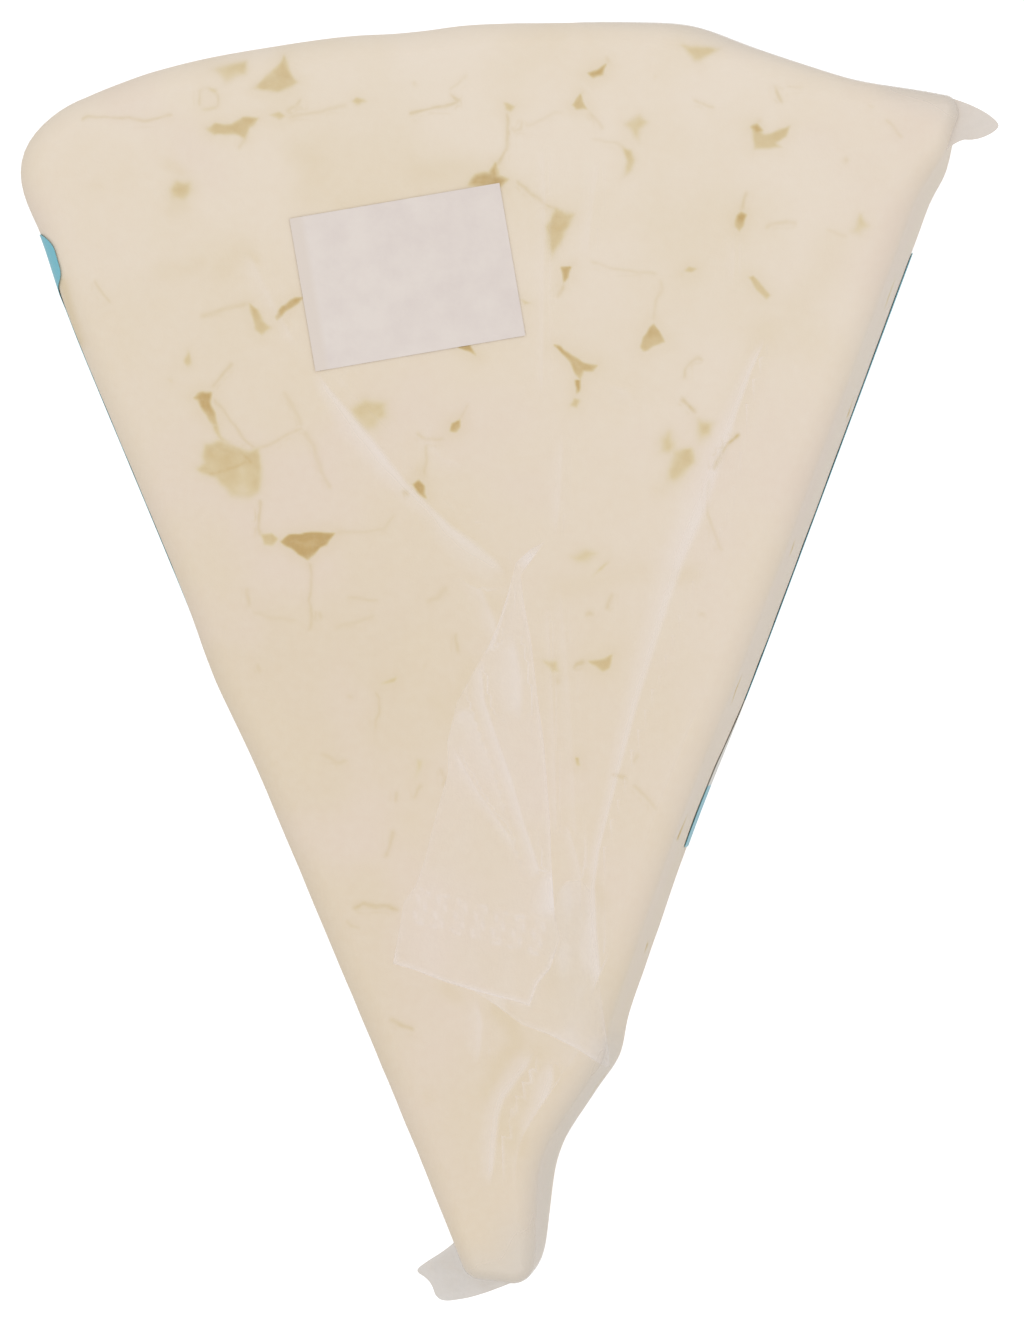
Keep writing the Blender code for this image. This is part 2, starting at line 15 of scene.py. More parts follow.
import bmesh
import bpy
import numpy as np
from mathutils import Matrix, Vector, noise
from mathutils.bvhtree import BVHTree

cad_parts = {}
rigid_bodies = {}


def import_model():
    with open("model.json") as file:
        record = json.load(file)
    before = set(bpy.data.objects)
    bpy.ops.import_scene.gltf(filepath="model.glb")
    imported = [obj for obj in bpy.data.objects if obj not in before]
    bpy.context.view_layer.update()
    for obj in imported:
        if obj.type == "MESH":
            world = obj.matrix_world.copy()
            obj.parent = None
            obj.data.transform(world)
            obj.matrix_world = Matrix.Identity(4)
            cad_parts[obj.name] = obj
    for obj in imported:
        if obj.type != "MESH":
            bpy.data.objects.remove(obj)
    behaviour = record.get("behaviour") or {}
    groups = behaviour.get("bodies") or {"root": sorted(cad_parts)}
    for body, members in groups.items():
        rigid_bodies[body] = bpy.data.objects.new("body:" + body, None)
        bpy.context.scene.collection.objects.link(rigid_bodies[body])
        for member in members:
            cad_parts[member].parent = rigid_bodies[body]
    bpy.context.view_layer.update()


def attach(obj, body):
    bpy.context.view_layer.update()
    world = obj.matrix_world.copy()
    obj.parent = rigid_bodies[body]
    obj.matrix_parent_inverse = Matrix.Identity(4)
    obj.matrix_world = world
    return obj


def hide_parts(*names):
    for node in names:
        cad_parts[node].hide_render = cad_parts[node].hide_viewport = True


for leftover in list(bpy.data.objects):
    bpy.data.objects.remove(leftover)
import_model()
MM = 0.001

# %% [markdown]
# ## Camera
#
# The wedge was photographed from straight above, from about a metre away, so its sides hardly show. A
# long lens at that height gives the same view. The Standard view transform leaves colours as they are,
# which suits a plain white studio: the tone curves of the others would grey the white floor.

# %% Camera
CAMERA_HEIGHT = 1.031
camera_data = bpy.data.cameras.new("camera")
camera_data.lens = 263
camera_data.sensor_width = 36
camera_data.clip_end = 10
camera = bpy.data.objects.new("camera", camera_data)
camera.location = (0, 0, CAMERA_HEIGHT)
scene = bpy.context.scene
scene.collection.objects.link(camera)
scene.camera = camera
scene.view_settings.view_transform = "Standard"
print("camera looks straight down from", CAMERA_HEIGHT, "m")

# %% [markdown]
# ## Nodes in one line each
#
# Every material here is a small tree of shader nodes. A helper that makes a node, sets it up and joins its
# inputs keeps each tree short enough to read.

# %% Helpers for shader nodes
def add(tree, kind, inputs=None, **settings):
    """A shader node. Its inputs are plain values, or outputs of other nodes to join to."""
    node = tree.nodes.new("ShaderNode" + kind)
    for name, value in settings.items():
        setattr(node, name, value)
    for name, value in (inputs or {}).items():
        if isinstance(value, bpy.types.NodeSocket):
            tree.links.new(value, node.inputs[name])
        else:
            node.inputs[name].default_value = value
    return node


def maths(tree, operation, *values, clamp=False):
    """The output of a Math node."""
    node = add(tree, "Math", dict(enumerate(values)), operation=operation, use_clamp=clamp)
    return node.outputs[0]


def blend(tree, share, first, second):
    """A mix of two colours."""
    node = add(tree, "Mix", {0: share, 6: first, 7: second}, data_type="RGBA")
    return node.outputs[2]


def remap(tree, value, low, high, to_low=0.0, to_high=1.0):
    """A value carried from one range to another, and kept within it."""
    inputs = {"Value": value, 1: low, 2: high, 3: to_low, 4: to_high}
    return add(tree, "MapRange", inputs).outputs[0]


def ramp(tree, value, stops):
    """A colour that a value picks from a row of stops (place, colour)."""
    node = add(tree, "ValToRGB", {"Fac": value})
    elements = node.color_ramp.elements
    while len(elements) < len(stops):
        elements.new(0.5)
    for element, (place, colour) in zip(elements, stops):
        element.position = place
        element.color = (*colour, 1)
    return node.outputs[0]


def new_material(name):
    """A material with only its Principled shader and its output."""
    material = bpy.data.materials.new(name)
    material.use_nodes = True
    return material, material.node_tree, material.node_tree.nodes["Principled BSDF"]


def attribute(tree, name):
    """A value that the mesh carries at each of its points."""
    return add(tree, "Attribute", attribute_name=name).outputs["Fac"]


def add_bump(tree, shader, height, strength, distance):
    """Fine relief for a shader, as deep in metres as the distance says."""
    bump = add(tree, "Bump", {"Height": height, "Strength": strength, "Distance": distance})
    tree.links.new(bump.outputs["Normal"], shader.inputs["Normal"])


print("node helpers ready")

# %% [markdown]
# ## Floor and light
#
# A pale sweep of paper and one big soft light straight above give almost no shadow, as for a catalogue
# picture. The sky round it is a plain grey, darker towards the horizon, so that the sides don't look lit up.
# The paper glows by itself to the eye, so that it stays white close to the wedge, but sheds less of that on
# the sides.

# %% Floor
FLOOR_SIZE = 3.0
FLOOR_DROP = 0.0002
GLOW_SEEN = 0.9
GLOW_SHED = 0.48
SWEEP_DARK = (0.33, 0.33, 0.33, 1)
SWEEP_LIGHT = (0.35, 0.35, 0.35, 1)
bm = bmesh.new()
bmesh.ops.create_grid(bm, x_segments=1, y_segments=1, size=FLOOR_SIZE / 2)
bmesh.ops.translate(bm, verts=bm.verts, vec=(0, 0, -FLOOR_DROP))
floor_mesh = bpy.data.meshes.new("floor")
bm.to_mesh(floor_mesh)
bm.free()
floor = bpy.data.objects.new("floor", floor_mesh)
scene.collection.objects.link(floor)
material, tree, shader = new_material("studio_paper")
paper_noise = add(tree, "TexNoise", {"Scale": 6.0, "Detail": 2.0}).outputs["Fac"]
sweep = blend(tree, paper_noise, SWEEP_DARK, SWEEP_LIGHT)
tree.links.new(sweep, shader.inputs["Base Color"])
shader.inputs["Roughness"].default_value = 0.9
shader.inputs["Specular IOR Level"].default_value = 0.1
shader.inputs["Emission Color"].default_value = (1, 1, 1, 1)
seen_directly = add(tree, "LightPath").outputs["Is Camera Ray"]
glow = remap(tree, seen_directly, 0.0, 1.0, GLOW_SHED, GLOW_SEEN)
tree.links.new(glow, shader.inputs["Emission Strength"])
floor_mesh.materials.append(material)
print("floor", FLOOR_SIZE, "m wide")

# %% Light
SKY_LOW = (0.70, 0.705, 0.71, 1)
SKY_HIGH = (0.892, 0.897, 0.902, 1)
SKY_HIGH_FROM = 0.7
SOFTBOX_SIZE = 1.3
SOFTBOX_PLACE = Vector((-0.15, 0.25, 1.6))
SOFTBOX_WATTS = 3.0
world = bpy.data.worlds.new("studio")
world.use_nodes = True
sky = world.node_tree
upwards = add(sky, "SeparateXYZ", {0: add(sky, "TexCoord").outputs["Generated"]}).outputs["Z"]
shade = blend(sky, remap(sky, upwards, 0.0, SKY_HIGH_FROM), SKY_LOW, SKY_HIGH)
sky.links.new(shade, sky.nodes["Background"].inputs["Color"])
scene.world = world
lamp = bpy.data.lights.new("softbox", "AREA")
lamp.size = SOFTBOX_SIZE
lamp.energy = SOFTBOX_WATTS
softbox = bpy.data.objects.new("softbox", lamp)
softbox.location = SOFTBOX_PLACE
softbox.rotation_mode = "QUATERNION"
softbox.rotation_quaternion = (-SOFTBOX_PLACE).to_track_quat("-Z", "Y")
scene.collection.objects.link(softbox)
print("softbox of", SOFTBOX_WATTS, "W")

# %% [markdown]
# ## The wedge's outline
#
# The wedge is about an eighth of a low round cheese: a blunt tip, two straight cuts and a piece of rind.
# Soft cheese doesn't keep to that, so low swells and hollows push the outline out and in. The cheese and
# the film share this outline, worked out from the same few sizes as the solid, but in much finer steps.

# %% Outline of the cut
THICKNESS = 31.0
WHEEL_RADIUS = 126.9
WHEEL_CENTRE = Vector((1.7, -59.25))
TIP_LEFT = Vector((-4.75, -64.4))
TIP_RIGHT = Vector((2.2, -65.1))
LEFT_SIDE_TURN = math.radians(-22.72)
RIGHT_SIDE_TURN = math.radians(20.45)
TIP_ROUND = 3.0
BACK_RIGHT_ROUND = 3.0
BACK_LEFT_ROUND = 10.5
# Where the soft cheese stands out of that outline: (x, y, reach, height).
SWELLS = [
    (8.0, -52.8, 6.2, -1.75),
    (11.8, -41.8, 3.0, 0.8),
    (19.0, -17.0, 12.0, -0.4),
    (-31.0, -2.0, 7.0, 0.45),
    (-50.0, 45.0, 7.0, -0.8),
    (-37.0, 61.5, 12.0, 0.85),
    (-50.5, 52.0, 5.0, 0.6),
    (-10.3, 67.0, 5.0, -0.4),
    (13.5, 66.8, 7.0, 0.5),
    (36.0, 62.5, 10.0, -1.0),
    (3.0, -62.5, 3.0, 0.45),
]


def rounded_corner(corner, towards_start, towards_end, radius, steps):
    """Points of the arc that rounds a corner between two directions that lead away from it."""
    start, end = towards_start.normalized(), towards_end.normalized()
    half = start.angle(end) / 2
    middle = corner + (start + end).normalized() * (radius / math.sin(half))
    first = corner + start * (radius / math.tan(half)) - middle
    turn = first.angle_signed(corner + end * (radius / math.tan(half)) - middle)
    return [middle + Matrix.Rotation(-turn * i / steps, 2) @ first for i in range(steps + 1)]


def stretch(start, end, step):
    """Evenly spaced points between two ends, without the ends."""
    count = round((end - start).length / step)
    return [start.lerp(end, i / count) for i in range(1, count)]


def meet_rind(start, turn):
    """Where a cut side that leaves the tip at an angle to the Y axis meets the round rind."""
    direction = Vector((math.sin(turn), math.cos(turn)))
    from_centre = start - WHEEL_CENTRE
    along_side = from_centre.dot(direction)
    reach = math.sqrt(along_side**2 - from_centre.length_squared + WHEEL_RADIUS**2)
    return start + direction * (reach - along_side)


def rind(start, end, step):
    """Points along the rind from one corner to the other, without the ends."""
    first, last = start - WHEEL_CENTRE, end - WHEEL_CENTRE
    turn = -first.angle_signed(last)
    count = round(turn * WHEEL_RADIUS / step)
    return [WHEEL_CENTRE + Matrix.Rotation(turn * i / count, 2) @ first for i in range(1, count)]


def along_rind(corner, reach):
    """The way from a corner to the point of the rind at a distance from it, anticlockwise if positive."""
    return WHEEL_CENTRE + Matrix.Rotation(reach / WHEEL_RADIUS, 2) @ (corner - WHEEL_CENTRE) - corner


BACK_LEFT = meet_rind(TIP_LEFT, LEFT_SIDE_TURN)
BACK_RIGHT = meet_rind(TIP_RIGHT, RIGHT_SIDE_TURN)
print("rind corners at", tuple(round(v, 1) for v in BACK_LEFT), tuple(round(v, 1) for v in BACK_RIGHT))

# %% Swells and normals
def outward(ring):
    """The outward direction at each point of a closed line that runs anticlockwise."""
    ahead = np.roll(ring, -1, axis=0) - ring
    ahead /= np.linalg.norm(ahead, axis=1, keepdims=True)
    along_ring = ahead + np.roll(ahead, 1, axis=0)
    normals = np.column_stack([along_ring[:, 1], -along_ring[:, 0]])
    return normals / np.linalg.norm(normals, axis=1, keepdims=True)


def cut_outline(step, corner_steps, swells):
    """The wedge's widest outline, anticlockwise from the tip."""
    left, right = TIP_LEFT - BACK_LEFT, BACK_RIGHT - TIP_RIGHT
    at_right = along_rind(BACK_RIGHT, BACK_RIGHT_ROUND)
    at_left = along_rind(BACK_LEFT, -BACK_LEFT_ROUND)
    tip_left = rounded_corner(TIP_LEFT, -left, TIP_RIGHT - TIP_LEFT, TIP_ROUND, corner_steps)
    tip_right = rounded_corner(TIP_RIGHT, TIP_LEFT - TIP_RIGHT, right, TIP_ROUND, corner_steps)
    back_right = rounded_corner(BACK_RIGHT, -right, at_right, BACK_RIGHT_ROUND, corner_steps)
    back_left = rounded_corner(BACK_LEFT, at_left, left, BACK_LEFT_ROUND, corner_steps)
    points = tip_left + tip_right + stretch(tip_right[-1], back_right[0], step)
    points += back_right + rind(back_right[-1], back_left[0], step)
    points += back_left + stretch(back_left[-1], tip_left[0], step)
    ring = np.array(points)
    out = np.zeros(len(ring))
    for x, y, reach, height in swells:
        out += height * np.exp(-(((ring[:, 0] - x) ** 2 + (ring[:, 1] - y) ** 2) / reach**2))
    return ring + outward(ring) * out[:, None]


OUTLINE_STEP = 0.6
CORNER_STEPS = 14
print("outline points:", len(cut_outline(OUTLINE_STEP, CORNER_STEPS, SWELLS)))

# %% [markdown]
# ## A closed shell
#
# Both the cheese and its film need a closed skin whose upper side is a fine, even grid, because the gaps
# in the curd and the folds of the film are modelled there. The walls grow by extruding one face, ring by
# ring, and the face that is left on top is cut into small squares, as a cheese wire would.

# %% Walls that lean and rims that are rounded
LEAN = 1.5
LEAN_TO_THE_RIGHT = 1.0
LEAN_CURVE = 1.4
TOP_ROUND = 2.6
BASE_ROUND = 1.6
TIP_STIFFENS_OVER = 14
EAR_STIFFENS_OVER = 10
STIFF_SHARE = 0.45
WALL_LEVELS = 15
ROUND_LEVELS = 8


def wall_levels():
    """(height, how far the rims' rounding pulls the wall in) from the table up to the upper side."""
    turns = np.arange(ROUND_LEVELS) / ROUND_LEVELS * math.pi / 2
    levels = [(BASE_ROUND * (1 - math.cos(t)), BASE_ROUND * (1 - math.sin(t))) for t in turns]
    straight = THICKNESS - BASE_ROUND - TOP_ROUND
    levels += [(BASE_ROUND + straight * i / WALL_LEVELS, 0.0) for i in range(WALL_LEVELS)]
    turns = np.arange(ROUND_LEVELS + 1) / ROUND_LEVELS * math.pi / 2
    top = THICKNESS - TOP_ROUND
    return levels + [(top + TOP_ROUND * math.sin(t), TOP_ROUND * (1 - math.cos(t))) for t in turns]


def softness(ring):
    """How much of its lean and rounding the wall keeps: less at the tip and at the ear's corner."""
    from_tip = (ring[:, 1] - TIP_RIGHT.y) / TIP_STIFFENS_OVER
    from_ear = (np.hypot(*(ring - BACK_RIGHT).T) - BACK_RIGHT_ROUND) / EAR_STIFFENS_OVER
    return STIFF_SHARE + (1 - STIFF_SHARE) * np.clip(np.minimum(from_tip, from_ear), 0, 1)


def lean_at(normals, height, soft):
    """How far the wall has come in from its foot at a height."""
    return (LEAN + LEAN_TO_THE_RIGHT * normals[:, 0]) * (height / THICKNESS) ** LEAN_CURVE * soft


print("wall rings:", len(wall_levels()))

# %% Shell
TOP_STEP = 0.7
WIRE_OFFSET = 0.31
CUT_TOLERANCE = 0.02
START_RADIUS = 10
TRIAL_INSET = 0.25
TRIAL_FOOT = 0.6


def slice_cap(bm, cap, step):
    """Cuts a flat face into a grid, and returns the grid's faces."""
    faces = [cap]
    corners = [vert.co.copy() for vert in cap.verts]
    for axis in (0, 1):
        values = [corner[axis] for corner in corners]
        normal = Vector((0, 0, 0))
        normal[axis] = 1
        finished = []
        for i in range(math.ceil(min(values) / step), math.floor(max(values) / step) + 1):
            place = (i + WIRE_OFFSET) * step
            edges = dict.fromkeys(edge for face in faces for edge in face.edges)
            verts = dict.fromkeys(vert for face in faces for vert in face.verts)
            cut = bmesh.ops.bisect_plane(
                bm,
                geom=[*faces, *edges, *verts],
                dist=CUT_TOLERANCE,
                plane_co=normal * place,
                plane_no=normal,
            )
            pieces = [item for item in cut["geom"] if isinstance(item, bmesh.types.BMFace)]
            finished += [face for face in pieces if face.calc_center_median()[axis] < place]
            faces = [face for face in pieces if face.calc_center_median()[axis] >= place]
        faces += finished
    return faces


def wedge_walls(inset, top_inset, foot, swells):
    """The wedge's walls on a closed foot, the flat face on top of them, its rim and its height."""
    outline = cut_outline(OUTLINE_STEP, CORNER_STEPS, swells)
    normals = outward(outline)
    soft = softness(outline)
    bm = bmesh.new()
    bmesh.ops.create_circle(bm, cap_ends=True, segments=len(outline), radius=START_RADIUS)
    cap = next(iter(bm.faces))
    for number, (height, rounding) in enumerate(wall_levels()):
        if number:
            grown = bmesh.ops.extrude_face_region(bm, geom=[cap, *cap.edges])["geom"]
            cap = next(item for item in grown if isinstance(item, bmesh.types.BMFace))
        pulled = lean_at(normals, height, soft) + rounding * soft + inset
        rim = outline - normals * pulled[:, None]
        level = foot + height * (THICKNESS - foot - top_inset) / THICKNESS
        for vert, (x, y) in zip(cap.verts, rim):
            vert.co = (x, y, level)
    return bm, cap, rim, level


def wedge_shell(inset, top_inset, foot, swells):
    """A closed bmesh of the wedge with a grid over the upper side, the rim and the rim's height."""
    bm, cap, rim, level = wedge_walls(inset, top_inset, foot, swells)
    slice_cap(bm, cap, TOP_STEP)
    return bm, rim, level


shell, _, _ = wedge_shell(TRIAL_INSET, TRIAL_INSET, TRIAL_FOOT, SWELLS)
print("plain shell:", len(shell.faces), "faces,", sum(e.is_boundary for e in shell.edges), "open edges")
shell.free()

# %% [markdown]
# ## Marks on a surface
#
# Gaps, cracks and folds are all drawn as short lines or outlines on the upper side. Two measurements are
# enough to model any of them: how far a point is from a line, and how far it is inside an outline. Worked
# out for all points at once, they raise or lower the fine grid and darken or whiten it.

# %% Measuring from lines and outlines
SEED_SHIFT = (17.3, 5.1, 9.7)


def eased(share):
    """A share from 0 to 1, with a soft start and end."""
    share = np.clip(share, 0, 1)
    return share * share * (3 - 2 * share)


def from_line(points, line):
    """For each point: its distance to a line, on which side it is (-1 or 1), and how far along."""
    line = np.asarray(line, float)
    steps = np.diff(line, axis=0)
    lengths = np.hypot(*steps.T)
    before = np.concatenate(([0], np.cumsum(lengths)))
    best, side, way = np.full(len(points), np.inf), np.zeros(len(points)), np.zeros(len(points))
    for start, step, length, passed in zip(line, steps, lengths, before):
        offset = points - start
        share = np.clip(offset @ step / length**2, 0, 1)
        gap = offset - share[:, None] * step
        distance = np.hypot(gap[:, 0], gap[:, 1])
        closer = distance < best
        best[closer] = distance[closer]
        side[closer] = np.sign(step[0] * gap[:, 1] - step[1] * gap[:, 0])[closer]
        way[closer] = (passed + share * length)[closer]
    return best, side, way / before[-1]


def inside_by(points, corners):
    """How far each point lies inside a closed outline. It is negative outside it."""
    closed = [*corners, corners[0]]
    distance = from_line(points, closed)[0]
    x, y = points.T
    crossed = np.zeros(len(points), bool)
    for (x1, y1), (x2, y2) in zip(closed, closed[1:]):
        spans = (y1 > y) != (y2 > y)
        crossed ^= spans & (x < x1 + (y - y1) * (x2 - x1) / ((y2 - y1) or 1))
    return np.where(crossed, distance, -distance)


def nearby(points, line, reach):
    """The points in the box round a line, widened by a reach."""
    line = np.asarray(line)[:, :2]
    close = (points > line.min(0) - reach) & (points < line.max(0) + reach)
    return np.flatnonzero(close.all(axis=1))


def rough(points, size, seed):
    """Smooth noise between -1 and 1 at each point."""
    shift = Vector([seed * part for part in SEED_SHIFT])
    return np.array([noise.noise(Vector(point) / size + shift) for point in points])


def coordinates(bm):
    """The places of all points of a bmesh, as rows."""
    return np.array([vert.co[:] for vert in bm.verts])


def move_to(bm, points):
    """Moves all points of a bmesh to new places."""
    for vert, point in zip(bm.verts, points):
        vert.co = point


def refine(bm, closeness, stages):
    """Halves the edges near a mark, stage by stage: (longest edge that may stay, how near counts)."""
    for limit, reach in stages:
        edges = [edge for edge in bm.edges if edge.calc_length() > limit]
        middles = np.array([((edge.verts[0].co + edge.verts[1].co) / 2)[:] for edge in edges])
        near = closeness(middles, reach)
        bmesh.ops.subdivide_edges(
            bm,
            edges=[edge for edge, close in zip(edges, near) if close],
            cuts=1,
            use_grid_fill=True,
            use_single_edge=True,
        )
    odd = [face for face in bm.faces if len(face.verts) > 4]
    bmesh.ops.triangulate(bm, faces=odd)


def to_piece(name, bm, material, values=None):
    """Turns a bmesh in millimetres into a piece that rides with the wedge, with values at its points."""
    bm.transform(Matrix.Scale(MM, 4))
    for face in bm.faces:
        face.smooth = True
    for edge in bm.edges:
        edge.smooth = not edge.is_boundary
    mesh = bpy.data.meshes.new(name)
    bm.to_mesh(mesh)
    bm.free()
    for key, numbers in (values or {}).items():
        layer = mesh.attributes.new(key, "FLOAT", "POINT")
        layer.data.foreach_set("value", np.asarray(numbers, np.float32))
    mesh.materials.append(material)
    made = bpy.data.objects.new(name, mesh)
    scene.collection.objects.link(made)
    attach(made, "root")
    print(name, "has", sum(len(face.vertices) - 2 for face in mesh.polygons), "triangles")
    return made


print("marks are measured from", len(SWELLS), "swells on")
